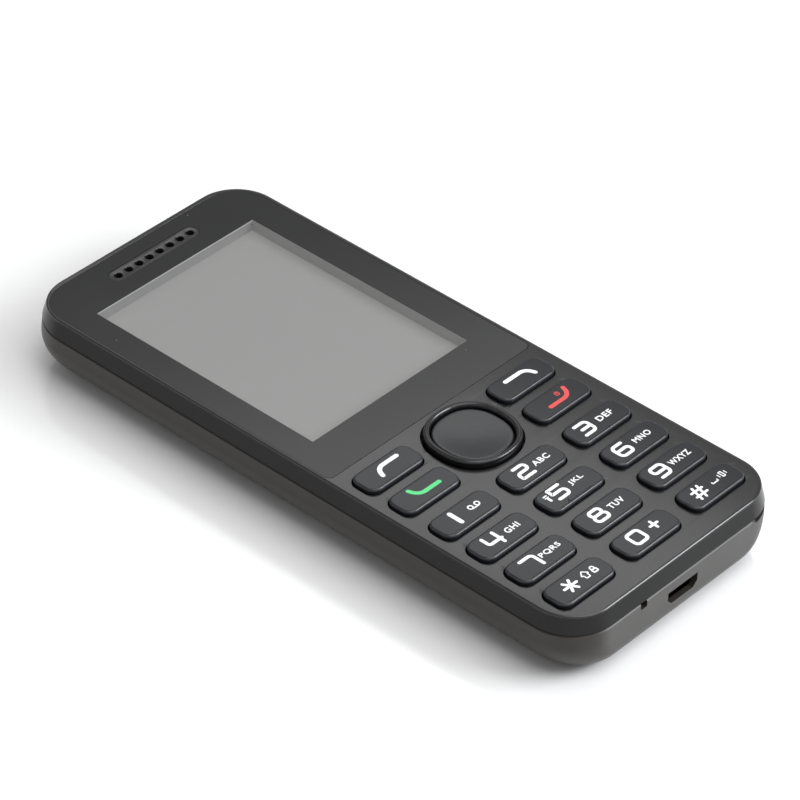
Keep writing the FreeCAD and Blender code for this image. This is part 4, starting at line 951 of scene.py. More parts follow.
def weave_tree() -> Tree:
    """Plain weave of round threads whose heights follow the crossings.

    Returns:
        The tree.
    """
    thread_sides, points_per_crossing, lift_share = 5, 2.0, 0.5
    tree = Tree("thread_weave", (("Width", "Float"), ("Length", "Float"), ("Pitch", "Float"),
                                 ("Thread", "Float"), ("Place", "Vector"), ("Material", "Material")))
    g = tree.given
    layers = []
    for across in (True, False):
        run, rise = (g["Width"], g["Length"]) if across else (g["Length"], g["Width"])
        count = tree.maths("FLOOR", tree.maths("DIVIDE", rise, g["Pitch"]))
        first = tree.share(tree.maths("SUBTRACT", count, 1.0), tree.share(g["Pitch"], -0.5))
        start, step = ((0.0, first), (0.0, g["Pitch"])) if across else ((first, 0.0), (g["Pitch"], 0.0))
        row = tree.use("GeometryNodeMeshLine", Count=count, Start_Location=tree.point(*start),
                       Offset=tree.point(*step))
        less, half = tree.share(run, -0.5), tree.share(run, 0.5)
        ends = ((less, 0.0), (half, 0.0)) if across else ((0.0, less), (0.0, half))
        thread = tree.use("GeometryNodeCurvePrimitiveLine", Start=tree.point(*ends[0]),
                          End=tree.point(*ends[1]))
        threads = tree.use("GeometryNodeRealizeInstances",
                           Geometry=tree.copies(row.outputs[0], thread.outputs[0]))
        bends = tree.share(tree.maths("DIVIDE", run, g["Pitch"]), points_per_crossing)
        fine = tree.use("GeometryNodeResampleCurve", Curve=threads.outputs[0], Count=bends)
        place = tree.place()
        turn = tree.maths("DIVIDE", math.pi, g["Pitch"])
        along = tree.share(place[0 if across else 1], turn)
        over = tree.share(place[1 if across else 0], turn)
        wave = tree.share(tree.maths("COSINE", along), tree.maths("SINE", over))
        lift = tree.share(tree.share(wave, g["Thread"]), lift_share if across else -lift_share)
        waved = tree.use("GeometryNodeSetPosition", Geometry=fine.outputs[0],
                         Offset=tree.point(0.0, 0.0, lift))
        section = tree.use("GeometryNodeCurvePrimitiveCircle", Resolution=thread_sides,
                           Radius=tree.share(g["Thread"], 0.5))
        tube = tree.use("GeometryNodeCurveToMesh", Curve=waved.outputs[0], Profile_Curve=section.outputs[0],
                        Fill_Caps=True)
        layers.append(tube.outputs[0])
    tree.finish(tree.moved(tree.joined(*layers), g["Place"]))
    return tree


# Sub-assemblies.


def metres(sizes: Sequence[float]) -> tuple[float, ...]:
    """Millimetres as metres."""
    return tuple(size * MM for size in sizes)


def node_centre(name: str) -> tuple[float, float]:
    """Middle of a CAD node in X and Y, in millimetres."""
    low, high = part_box(name)
    return ((low[0] + high[0]) / 2 / MM, (low[1] + high[1]) / 2 / MM)


KEYS = ("soft_key_left", "soft_key_right", "call_key", "end_key", "key_1", "key_2", "key_3", "key_4", "key_5",
        "key_6", "key_7", "key_8", "key_9", "key_star", "key_0", "key_hash")


@dataclass
class FrontHousing:
    """Bezel, keypad deck and lip in one moulding."""

    seam_outline: CaseOutline = (25.85, 0.06, -61.53, 61.3, 8.6, 9.9)
    rim_outline: CaseOutline = (25.135, 0.685, -60.2, 60.5, 7.6, 8.0)
    flat_outline: CaseOutline = (24.58, 0.47, -59.86, 60.16, 7.26, 7.66)
    seam: float = 9.52
    lip_bottom: float = 8.45
    lip_inset: float = 1.25
    wall: float = 2.1
    underside: float = 10.95
    ledge_bottom: float = 10.15
    ledge_outline: tuple[float, float, float, float, float] = (23.5, -9.6, 58.9, 1.2, 6.2)
    recess_floor: float = 11.15
    recess_outline: CaseOutline = (24.47, 0.49, -8.4, 59.5, 1.28, 6.85)
    recess_edge: float = 0.01
    opening_width: float = 38.74
    opening_length: float = 50.8
    opening_corner: float = 0.4
    opening_y: float = 24.89
    slot_width: float = 18.5
    slot_length: float = 1.9
    slot_corner: float = 0.9
    slot_y: float = 54.7
    key_width: float = 13.14
    key_shift: float = 0.15
    key_length: float = 5.79
    key_corner: float = 1.95
    edge: float = 0.14
    nav_width: float = 16.32
    nav_length: float = 16.12
    nav_power: float = 2.25
    nav_y: float = -17.5
    profile: tuple[Triple, ...] = (
        (0.0, 0.14, 9.52), (0.02, 0.0, 9.68), (0.3, 0.0, 10.3), (0.62, 0.0, 11.0), (0.9, 0.0, 11.65),
        (1.0, 0.0, 11.88), (1.09, 0.0, 12.02), (1.35, 0.0, 12.12), (1.7, 0.0, 12.18), (2.0, 0.0, 12.2))

    def outline(self, rise: float, inset: float = 0.0) -> Loop:
        """Case outline at one stage of the rim.

        Args:
            rise: 0 at the seam, 1 at the rim's edge, 2 at the edge of the flat face.
            inset: how far the loop lies inside.

        Returns:
            The loop.
        """
        start, end = self.seam_outline, self.rim_outline
        if rise > 1:
            start, end = self.rim_outline, self.flat_outline
            rise -= 1
        return case_loop([a + (b - a) * rise for a, b in zip(start, end)], inset)

    def recess(self, grown: float = 0.0) -> Loop:
        """Outline of the window's recess, grown all round."""
        return case_loop(self.recess_outline, -grown)

    def openings(self, grown: float) -> list[Loop]:
        """Openings for the keys and for the ring.

        Args:
            grown: how far each loop is grown all round.

        Returns:
            A loop for every key and one for the ring.
        """
        loops = []
        wider = 2 * grown
        for key in KEYS:
            x, y = node_centre(key)
            loops.append(rounded(self.key_width + wider, self.key_length + wider, self.key_corner + grown,
                                 x + self.key_shift, y, 6))
        loops.append(squircle(self.nav_width + wider, self.nav_length + wider, self.nav_power, self.nav_y))
        return loops

    def build(self, rack: FinishRack) -> bpy.types.Object:
        """Makes the moulding and puts it in place of its CAD node.

        Args:
            rack: the finishes.

        Returns:
            The finished piece.
        """
        maker = MeshMaker()
        rings = maker.stack([(self.outline(0.0, self.wall), self.underside),
                             (self.outline(0.0, self.wall), self.lip_bottom),
                             (self.outline(0.0, self.lip_inset), self.lip_bottom),
                             (self.outline(0.0, self.lip_inset), self.seam)]
                            + [(self.outline(rise, inset), z) for rise, inset, z in self.profile])
        tops, feet = [], []
        steps = round_over(self.edge, 3)
        for index in range(len(KEYS) + 1):
            levels = [(self.openings(grown)[index], FACE - drop) for grown, drop in steps]
            walls = maker.stack([(self.openings(0.0)[index], self.underside)] + levels)
            feet.append(walls[0])
            tops.append(walls[-1])
        recess = maker.stack([(self.recess(), self.recess_floor), (self.recess(), FACE - self.recess_edge),
                              (self.recess(self.recess_edge), FACE)])
        maker.cap(rings[-1], [recess[-1]] + tops)
        display = rounded(self.opening_width, self.opening_length, self.opening_corner, 0.0,
                          self.opening_y, 4)
        slot = rounded(self.slot_width, self.slot_length, self.slot_corner, 0.0, self.slot_y, 6)
        through = [maker.stack([(loop, self.ledge_bottom), (loop, self.recess_floor)])
                   for loop in (display, slot)]
        maker.cap(recess[0], [walls[1] for walls in through])
        ledge = arched(*self.ledge_outline, 12)
        ledge_rings = maker.stack([(ledge, self.underside), (ledge, self.ledge_bottom)])
        maker.cap(ledge_rings[1], [walls[0] for walls in through])
        maker.cap(rings[0], [ledge_rings[0]] + feet)
        piece = maker.build("front_moulding", 28.0)
        rack.dress(piece, "deck_plastic")
        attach(piece, Body.HANDSET.value)
        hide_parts("front_housing")
        return piece


@dataclass
class DisplayWindow:
    """Printed window with a clear view, and the display film seen through it."""

    outer: CaseOutline = (24.4, 0.49, -8.28, 59.43, 1.21, 6.78)
    low: float = 11.3
    edge: float = 0.012
    view_width: float = 37.34
    view_length: float = 49.4
    view_corner: float = 0.06
    view_y: float = 24.89
    view_depth: float = 0.03
    slot_width: float = 20.36
    slot_length: float = 3.06
    slot_y: float = 54.7
    active_width: float = 36.72
    active_length: float = 48.96
    active_corner: float = 0.05
    border: float = 1.2
    border_corner: float = 0.2
    film_z: float = 10.06
    film_thickness: float = 0.06
    sleeve_foot: float = 0.07
    sleeve_top: float = 12.15
    sleeve_inner: float = 0.08
    sleeve_outer: float = 0.02
    # Thin strip at the view's far edge that carries a painted highlight.
    line_margin: float = 0.3
    line_length: float = 0.14
    line_inset: float = 0.17
    line_corner: float = 0.02
    line_depths: tuple[float, float] = (0.06, 0.01)

    def outline(self, inset: float) -> Loop:
        """Window outline, inset all round."""
        return case_loop(self.outer, inset)

    def build(self, rack: FinishRack) -> list[bpy.types.Object]:
        """Makes the pane and the display film.

        Args:
            rack: the finishes.

        Returns:
            Both finished pieces.
        """
        maker = MeshMaker()
        sides = maker.stack([(self.outline(0.0), self.low)]
                            + [(self.outline(inset), FACE - drop)
                               for inset, drop in round_over(self.edge, 3)])
        view = rounded(self.view_width, self.view_length, self.view_corner, 0.0, self.view_y, 4)
        slot = rounded(self.slot_width, self.slot_length, self.slot_length / 2 - HAIR_SIDE, 0.0,
                       self.slot_y, 12)
        view_rings = maker.stack([(view, self.low), (view, FACE - self.view_depth)])
        slot_rings = maker.stack([(slot, self.low), (slot, FACE)])
        view_top = maker.loop(view, FACE)
        maker.cap(sides[0], [view_rings[0], slot_rings[0]])
        maker.cap(sides[-1], [view_top, slot_rings[1]])
        maker.paint = 1
        maker.cap(view_top)
        maker.cap(view_rings[1])
        pane = maker.build("window_pane", 28.0)
        rack.dress(pane, "window_print", "window_clear")
        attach(pane, Body.HANDSET.value)
        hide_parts("display_window")
        return [pane, self.film(rack)]

    def film(self, rack: FinishRack) -> bpy.types.Object:
        """Active area with its border and the sleeve that leads up to the window, all carrying a painted glow
        in place of reflected studio light, and a thin strip with a painted highlight along the view's far
        edge.

        Args:
            rack: the finishes.

        Returns:
            The film.
        """
        plain, active_glow_paint, highlight_strip_paint = 0, 1, 2
        maker = MeshMaker()
        film_top = self.film_z + self.film_thickness
        border = rounded(self.view_width + self.border, self.view_length + self.border,
                         self.border_corner, 0.0, self.view_y, 3)
        active = rounded(self.active_width, self.active_length, self.active_corner, 0.0, self.view_y, 3)
        low, high = maker.stack([(border, self.film_z), (border, film_top)])
        inner = maker.loop(active, film_top)
        maker.cap(low)
        maker.cap(high, [inner])
        # Active area, in a finish with a painted glow.
        maker.paint = active_glow_paint
        maker.cap(inner)
        maker.paint = plain
        # Sleeve lining the walls up to the window, in the border's finish with its painted glow, which lifts
        # the shade inside the recess.
        foot = self.film_z + self.sleeve_foot
        sleeve = [(rounded(self.view_width - less, self.view_length - less, self.active_corner, 0.0,
                           self.view_y, 4), z)
                  for less, z in ((self.sleeve_outer, foot), (self.sleeve_outer, self.sleeve_top),
                                  (self.sleeve_inner, self.sleeve_top), (self.sleeve_inner, foot))]
        walls = maker.stack(sleeve)
        maker.bridge(walls[-1], walls[0])
        # Thin strip under the window at the view's far edge, with a painted highlight.
        maker.paint = highlight_strip_paint
        strip = rounded(self.view_width - self.line_margin, self.line_length, self.line_corner, 0.0,
                        self.view_y + self.view_length / 2 - self.line_inset, 2)
        maker.closed([(strip, self.sleeve_top - depth) for depth in self.line_depths])
        piece = maker.build("display_film", 28.0)
        rack.dress(piece, "display_border_painted_glow", "display_active_painted_glow", "display_edge_painted_highlight")
        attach(piece, Body.HANDSET.value)
        return piece


@dataclass
class Earpiece:
    """Perforated insert over the receiver."""

    width: float = 20.2
    length: float = 2.9
    y: float = 54.7
    low: float = 11.3
    thickness: float = 0.85
    edge: float = 0.2
    hole_radius: float = 0.7
    pitch: float = 2.445
    holes: int = 8

    def build(self, rack: FinishRack) -> bpy.types.Object:
        """Runs the perforation tree and puts the insert in place of its CAD node.

        Args:
            rack: the finishes.

        Returns:
            The finished piece.
        """
        piece = perforated_tree().run(
            "earpiece_insert", Width=self.width * MM, Length=self.length * MM, Thickness=self.thickness * MM,
            Edge=self.edge * MM, Hole_Radius=self.hole_radius * MM, Pitch=self.pitch * MM, Count=self.holes,
            Place=(0.0, self.y * MM, self.low * MM), Material=rack.materials["insert_plastic"])
        shade(piece, 12.0)
        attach(piece, Body.HANDSET.value)
        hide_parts("earpiece_grille")
        return piece


Stroke = list[Triple]


def bent(stroke: Stroke, closed: bool = False, steps: int = 7) -> Loop:
    """Polyline whose corners are rounded.

    Args:
        stroke: corner points and the radius at each.
        closed: True to join the end to the start.
        steps: chords per corner.

    Returns:
        The points.
    """
    straight = math.pi - 0.05
    points: Loop = []
    count = len(stroke)
    for index, (x, y, radius) in enumerate(stroke):
        if radius <= 0 or (not closed and index in (0, count - 1)):
            points.append((x, y))
            continue
        here = Vector((x, y))
        before = Vector(stroke[index - 1][:2])
        after = Vector(stroke[(index + 1) % count][:2])
        back, ahead = (before - here).normalized(), (after - here).normalized()
        angle = back.angle(ahead)
        if angle > straight:
            points.append((x, y))
            continue
        reach = radius / math.tan(angle / 2)
        middle = here + (back + ahead).normalized() * (radius / math.sin(angle / 2))
        first, last = here + back * reach - middle, here + ahead * reach - middle
        start = math.atan2(first.y, first.x)
        sweep = (math.atan2(last.y, last.x) - start + math.pi) % (2 * math.pi) - math.pi
        for step in range(steps + 1):
            turn = start + sweep * step / steps
            points.append((middle.x + radius * math.cos(turn), middle.y + radius * math.sin(turn)))
    return points


@dataclass
class Inker:
    """Lays printed strokes on a flat top as thin ribbons."""

    x: float
    y: float
    z: float
    proud: float = 0.012
    hair: float = 0.003
    sunk: float = 0.05
    weight: float = 0.022
    spacing: float = 1.12
    same_place: float = 1e-5
    sharpest: float = 0.35
    end_radius: float = 0.495
    end_step: float = 0.46
    longest_step: float = 0.45
    maker: MeshMaker = field(default_factory=MeshMaker)

    def top(self) -> float:
        """Height of the next stroke, a hair above the last so that no two tops share a plane."""
        self.maker.layers += 1
        return self.z + self.proud + self.hair * self.maker.layers

    def line(self, stroke: Stroke, width: float, closed: bool = False) -> None:
        """Adds a ribbon along a stroke.

        Args:
            stroke: corner points, relative to the ink's centre, and the radius at each.
            width: the ribbon's width.
            closed: True to join the end to the start.
        """
        if not closed:
            stroke = [self.pulled(stroke[0], stroke[1], width), *stroke[1:-1],
                      self.pulled(stroke[-1], stroke[-2], width)]
        path = bent(stroke, closed)
        path = [point for index, point in enumerate(path)
                if index == 0 or math.dist(point, path[index - 1]) > self.same_place]
        count = len(path)
        sides: list[tuple[Point, Point]] = []
        for index, (x, y) in enumerate(path):
            before = path[index - 1] if closed or index else path[index]
            after = path[(index + 1) % count] if closed or index < count - 1 else path[index]
            back = Vector((x - before[0], y - before[1]))
            ahead = Vector((after[0] - x, after[1] - y))
            back = back.normalized() if back.length else ahead.normalized()
            ahead = ahead.normalized() if ahead.length else back
            along = (back + ahead).normalized() if (back + ahead).length > 1e-6 else back
            across = Vector((-along.y, along.x)) * (width / 2 / max(along.dot(ahead), self.sharpest))
            sides.append(((self.x + x + across.x, self.y + y + across.y),
                          (self.x + x - across.x, self.y + y - across.y)))
        left = [side[0] for side in sides]
        right = [side[1] for side in sides]
        foot, head = self.z - self.sunk, self.top()
        rails = [self.maker.loop(rail, z)
                 for rail, z in ((left, foot), (left, head), (right, head), (right, foot))]
        for index in range(4):
            self.maker.bridge(rails[index], rails[(index + 1) % 4], closed)
        if not closed:
            self.maker.face(*(rail[0] for rail in rails))
            self.maker.face(*(rail[-1] for rail in reversed(rails)))
            for x, y in (path[0], path[-1]):
                self.disc(x, y, width * self.end_radius)

    def pulled(self, end: Triple, back: Triple, width: float) -> Triple:
        """End of a stroke moved back to make room for a round end.

        Args:
            end: the end point and its radius.
            back: the point before it.
            width: the ribbon's width.

        Returns:
            The moved end.
        """
        reach = Vector((back[0] - end[0], back[1] - end[1]))
        step = reach.normalized() * min(width * self.end_step, reach.length * self.longest_step)
        return (end[0] + step.x, end[1] + step.y, end[2])

    def disc(self, x: float, y: float, radius: float, sides: int = 14) -> None:
        """Adds a filled disc.

        Args:
            x: its middle.
            y: its middle.
            radius: its radius.
            sides: its chords.
        """
        turns = [2 * math.pi * index / sides for index in range(sides)]
        outline = [(self.x + x + radius * math.cos(turn), self.y + y + radius * math.sin(turn))
                   for turn in turns]
        self.maker.closed([(outline, self.z - self.sunk), (outline, self.top())])

    def figure(self, digit: str, width: float) -> None:
        """Adds a digit about the ink's centre, in strokes of one width."""
        for stroke, closed in DIGITS[digit]:
            self.line(stroke, width, closed)

    def word(self, text: str, x: float, y: float, height: float, width: float) -> None:
        """Adds capitals in the plain built-in face, fitted to a width.

        Args:
            text: the letters.
            x: their middle.
            y: their middle.
            height: the capitals' height.
            width: the whole word's width.
        """
        curve = bpy.data.curves.new(text, "FONT")
        curve.body = text
        curve.size = 1.0
        curve.resolution_u = 4
        curve.offset = self.weight
        curve.space_character = self.spacing
        holder = bpy.data.objects.new(text, curve)
        bpy.context.scene.collection.objects.link(holder)
        flat = evaluated_mesh(holder)
        bpy.data.objects.remove(holder, do_unlink=True)
        work = bmesh.new()
        work.from_mesh(flat)
        bmesh.ops.remove_doubles(work, verts=work.verts, dist=self.same_place)
        across = [vertex.co.x for vertex in work.verts]
        upward = [vertex.co.y for vertex in work.verts]
        scale_x, scale_y = width / (max(across) - min(across)), height / (max(upward) - min(upward))
        middle_x, middle_y = (min(across) + max(across)) / 2, (min(upward) + max(upward)) / 2
        places = [(self.x + x + (vertex.co.x - middle_x) * scale_x,
                   self.y + y + (vertex.co.y - middle_y) * scale_y) for vertex in work.verts]
        lower, upper = self.maker.loop(places, self.z - self.sunk), self.maker.loop(places, self.top())
        work.verts.index_update()
        for face in work.faces:
            numbers = [vertex.index for vertex in face.verts]
            self.maker.face(*(lower[number] for number in reversed(numbers)))
            self.maker.face(*(upper[number] for number in numbers))
        for edge in work.edges:
            if len(edge.link_faces) == 1:
                a, b = (vertex.index for vertex in edge.verts)
                self.maker.face(lower[a], lower[b], upper[b], upper[a])
        work.free()
        bpy.data.meshes.remove(flat)


DIGITS: dict[str, list[tuple[Stroke, bool]]] = {
    "2": [([(-1.3, 1.355, 0), (1.325, 1.355, 0.62), (1.325, 0.0, 0.62), (-1.325, 0.0, 0.62),
            (-1.325, -1.355, 0.08), (1.635, -1.355, 0)], False)],
    "3": [([(-1.5, 1.355, 0), (1.325, 1.355, 0.75), (1.325, -1.355, 0.75), (-1.5, -1.355, 0)], False),
          ([(-1.0, 0.0, 0), (1.325, 0.0, 0)], False)],
    "4": [([(-1.325, 1.665, 0), (-1.325, -0.42, 0.5), (1.75, -0.42, 0)], False),
          ([(1.12, 1.665, 0), (1.12, -1.665, 0)], False)],
    "5": [([(1.5, 1.355, 0), (-1.325, 1.355, 0.08), (-1.325, 0.12, 0.08), (1.325, 0.12, 0.68),
            (1.325, -1.355, 0.68), (-1.5, -1.355, 0)], False)],
    "6": [([(1.3, 1.355, 0), (-1.325, 1.355, 0.75), (-1.325, -1.355, 0.75), (1.325, -1.355, 0.6),
            (1.325, 0.08, 0.6), (-1.325, 0.08, 0)], False)],
    "7": [([(-1.635, 1.355, 0), (1.325, 1.355, 0.75), (1.325, -1.665, 0)], False)],
    "8": [([(-1.16, 1.355, 0.6), (1.16, 1.355, 0.6), (1.16, 0.06, 0.6), (-1.16, 0.06, 0.6)], True),
          ([(-1.34, 0.06, 0.66), (1.34, 0.06, 0.66), (1.34, -1.355, 0.66), (-1.34, -1.355, 0.66)], True)],
    "9": [([(-1.3, -1.355, 0), (1.325, -1.355, 0.75), (1.325, 1.355, 0.75), (-1.325, 1.355, 0.6),
            (-1.325, -0.08, 0.6), (1.325, -0.08, 0)], False)],
    "0": [([(-1.325, 1.355, 0.66), (1.325, 1.355, 0.66), (1.325, -1.355, 0.66),
            (-1.325, -1.355, 0.66)], True)],
}
WORDS = {"key_2": ("ABC", 3.67), "key_3": ("DEF", 3.5), "key_4": ("GHI", 3.0), "key_5": ("JKL", 3.1),
         "key_6": ("MNO", 3.9), "key_7": ("PQRS", 4.57), "key_8": ("TUV", 3.4), "key_9": ("WXYZ", 4.77)}
INKS = {"call_key": "legend_green", "end_key": "legend_red"}


@dataclass
class Keypad:
    """Sixteen caps with their printed legends."""

    width: float = 12.74
    length: float = 5.39
    shift: float = 0.15
    corner: float = 1.75
    base: float = 10.3
    flange: float = 0.5
    flange_height: float = 0.6
    top: float = 13.05
    edge: float = 0.42
    stroke: float = 0.62
    word_height: float = 1.25
    lift: float = 0.15
    five_lift: float = 0.57
    column_edge: float = 5.0
    digit_shift: Triple = (-1.77, -1.8, -2.65)
    word_shift: Triple = (2.51, 2.4, 2.1)
    bar: tuple[Point, ...] = ((-2.45, -2.22), (2.95, -2.22), (3.0, -1.5), (-2.05, -1.5))
    bar_middle: Point = (0.33, -1.86)
    bar_taper: Point = (0.98, 0.8)
    bar_sunk: float = 0.1
    bar_height: float = 0.2

    def cap(self, name: str, rack: FinishRack) -> bpy.types.Object:
        """One key cap in place of its CAD node.

        Args:
            name: the key's node and body.
            rack: the finishes.

        Returns:
            The cap.
        """
        x, y = node_centre(name)
        middle, shoulder = x + self.shift, self.base + self.flange_height
        wide = rounded(self.width + 2 * self.flange, self.length + 2 * self.flange, self.corner + self.flange,
                       middle, y, 8)
        sheer = [(rounded(self.width - 2 * inset, self.length - 2 * inset, self.corner - inset * 0.9,
                          middle, y, 8), self.top - drop) for inset, drop in round_over(self.edge, 5)]
        side = rounded(self.width, self.length, self.corner, middle, y, 8)
        maker = MeshMaker()
        maker.closed([(wide, self.base), (wide, shoulder), (side, shoulder)] + sheer)
        if name == "key_5":
            foot = [(x + px, y + py) for px, py in self.bar]
            (mx, my), (tx, ty) = self.bar_middle, self.bar_taper
            ridge = [(x + mx + (px - mx) * tx, y + my + (py - my) * ty) for px, py in self.bar]
            maker.closed([(foot, self.top - self.bar_sunk), (ridge, self.top + self.bar_height)])
        piece = maker.build(f"{name}_cap", 30.0)
        rack.dress(piece, "key_plastic")
        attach(piece, name)
        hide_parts(name)
        return piece

    def legend(self, name: str, rack: FinishRack) -> bpy.types.Object:
        """Printing of one key.

        Args:
            name: the key's node and body.
            rack: the finishes.

        Returns:
            The printed piece, riding on its key.
        """
        x, y = node_centre(name)
        ink = Inker(x, y, self.top)
        column = 0 if x < -self.column_edge else 2 if x > self.column_edge else 1
        if name in WORDS:
            lift = self.five_lift if name == "key_5" else self.lift
            part = Inker(x + self.digit_shift[column], y + lift, self.top, maker=ink.maker)
            part.figure(name[-1], self.stroke)
            word, width = WORDS[name]
            ink.word(word, self.word_shift[column], lift, self.word_height, width)
        drawings = {"key_1": self.draw_one, "key_5": self.draw_five, "key_star": self.draw_star,
                    "key_0": self.draw_zero, "key_hash": self.draw_hash,
                    "soft_key_left": self.draw_soft_left, "soft_key_right": self.draw_soft_right,
                    "call_key": self.draw_call, "end_key": self.draw_end}
        if name in drawings:
            drawings[name](Inker(0.0, 0.0, self.top, maker=ink.maker))
        piece = ink.maker.build(f"{name}_legend", 30.0)
        rack.dress(piece, INKS.get(name, "legend_white"))
        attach(piece, name)
        return piece

    def draw_one(self, ink: Inker) -> None:
        """Figure one and two joined rings on a line.

        Args:
            ink: the inker, in the part's own coordinates.
        """
        ink.line([(-17.9, -28.05, 0), (-17.9, -31.4, 0)], 0.84)
        for x in (-14.35, -12.85):
            ring = [(x - 0.42, -29.25, 0.42), (x + 0.42, -29.25, 0.42), (x + 0.42, -30.12, 0.42),
                    (x - 0.42, -30.12, 0.42)]
            ink.line(ring, 0.26, True)
        ink.line([(-14.4, -30.2, 0), (-12.8, -30.2, 0)], 0.24)

    def draw_five(self, ink: Inker) -> None:
        """Small torch beside the figure.

        Args:
            ink: the inker, in the part's own coordinates.
        """
        ink.line([(-4.75, -36.4, 0), (-3.85, -36.4, 0)], 0.3)
        ink.line([(-4.75, -36.85, 0), (-3.85, -36.85, 0)], 0.22)
        ink.line([(-4.3, -37.0, 0), (-4.3, -38.0, 0)], 0.5)

    def draw_star(self, ink: Inker) -> None:
        """Asterisk, an outlined arrow and a padlock.

        Args:
            ink: the inker, in the part's own coordinates.
        """
        for turn in (0, 60, 120):
            c, s = math.cos(math.radians(turn)), math.sin(math.radians(turn))
            ink.line([(-17.85 - 1.65 * c, -53.3 - 1.5 * s, 0), (-17.85 + 1.65 * c, -53.3 + 1.5 * s, 0)], 0.5)
        ink.line([(-14.3, -52.35, 0.1), (-15.15, -53.25, 0.1), (-14.72, -53.3, 0.05), (-14.72, -54.0, 0.15),
                  (-13.88, -54.0, 0.15), (-13.88, -53.3, 0.05), (-13.45, -53.25, 0.1)], 0.22, True)
        ink.line([(-12.85, -53.95, 0.15), (-11.95, -53.95, 0.15), (-11.95, -53.3, 0.15),
                  (-12.85, -53.3, 0.15)], 0.3, True)
        ink.line([(-12.75, -53.3, 0), (-12.75, -52.6, 0.35), (-12.05, -52.6, 0.35), (-12.05, -53.3, 0)], 0.24)

    def draw_zero(self, ink: Inker) -> None:
        """Figure nought and a plus.

        Args:
            ink: the inker, in the part's own coordinates.
        """
        Inker(-1.8, -53.26, self.top, maker=ink.maker).figure("0", self.stroke)
        ink.line([(1.33, -53.12, 0), (3.5, -53.12, 0)], 0.5)
        ink.line([(2.42, -52.05, 0), (2.42, -54.2, 0)], 0.5)

    def draw_hash(self, ink: Inker) -> None:
        """Slanted hash, a space bar's bracket and a shaking phone.

        Args:
            ink: the inker, in the part's own coordinates.
        """
        for x in (12.95, 14.05):
            ink.line([(x + 0.42, -51.75, 0), (x - 0.42, -54.9, 0)], 0.46)
        for y in (-52.75, -53.9):
            ink.line([(12.05, y, 0), (15.0, y, 0)], 0.44)
        ink.line([(16.68, -53.15, 0), (16.68, -53.58, 0.02), (18.0, -53.58, 0.02), (18.0, -53.15, 0)], 0.22)
        ink.line([(19.3, -52.4, 0.1), (19.8, -52.4, 0.1), (19.8, -53.6, 0.1), (19.3, -53.6, 0.1)], 0.2, True)
        for x in (18.75, 20.35):
            ink.line([(x, -52.6, 0), (x, -53.4, 0)], 0.18)

    def draw_soft_left(self, ink: Inker) -> None:
        """Bar that turns down at its outer end."""
        ink.line([(-12.4, -12.5, 0), (-17.35, -12.5, 1.9), (-18.1, -14.75, 0)], 0.8)

    def draw_soft_right(self, ink: Inker) -> None:
        """Bar that turns down at its outer end."""
        ink.line([(13.25, -12.5, 0), (18.35, -12.5, 1.9), (19.2, -14.6, 0)], 0.8)

    def draw_call(self, ink: Inker) -> None:
        """Green stroke that drops and runs inward."""
        ink.line([(-18.3, -19.6, 0), (-17.5, -21.8, 1.9), (-12.55, -21.8, 0)], 0.8)

    def draw_end(self, ink: Inker) -> None:
        """Red stroke that runs outward and rises, and a power mark.

        Args:
            ink: the inker, in the part's own coordinates.
        """
        ink.line([(13.45, -22.15, 0), (18.45, -22.15, 1.9), (19.2, -19.85, 0)], 0.8)
        ink.line([(16.78, -20.12, 0.3), (17.52, -20.12, 0.3), (17.52, -20.98, 0.3),
                  (16.78, -20.98, 0.3)], 0.18, True)
        ink.line([(17.15, -20.1, 0), (17.15, -20.75, 0)], 0.2)

    def build(self, rack: FinishRack) -> list[bpy.types.Object]:
        """Makes all caps and legends.

        Args:
            rack: the finishes.

        Returns:
            Caps and legends by turns.
        """
        pieces = []
        for name in KEYS:
            pieces.append(self.cap(name, rack))
            pieces.append(self.legend(name, rack))
        return pieces


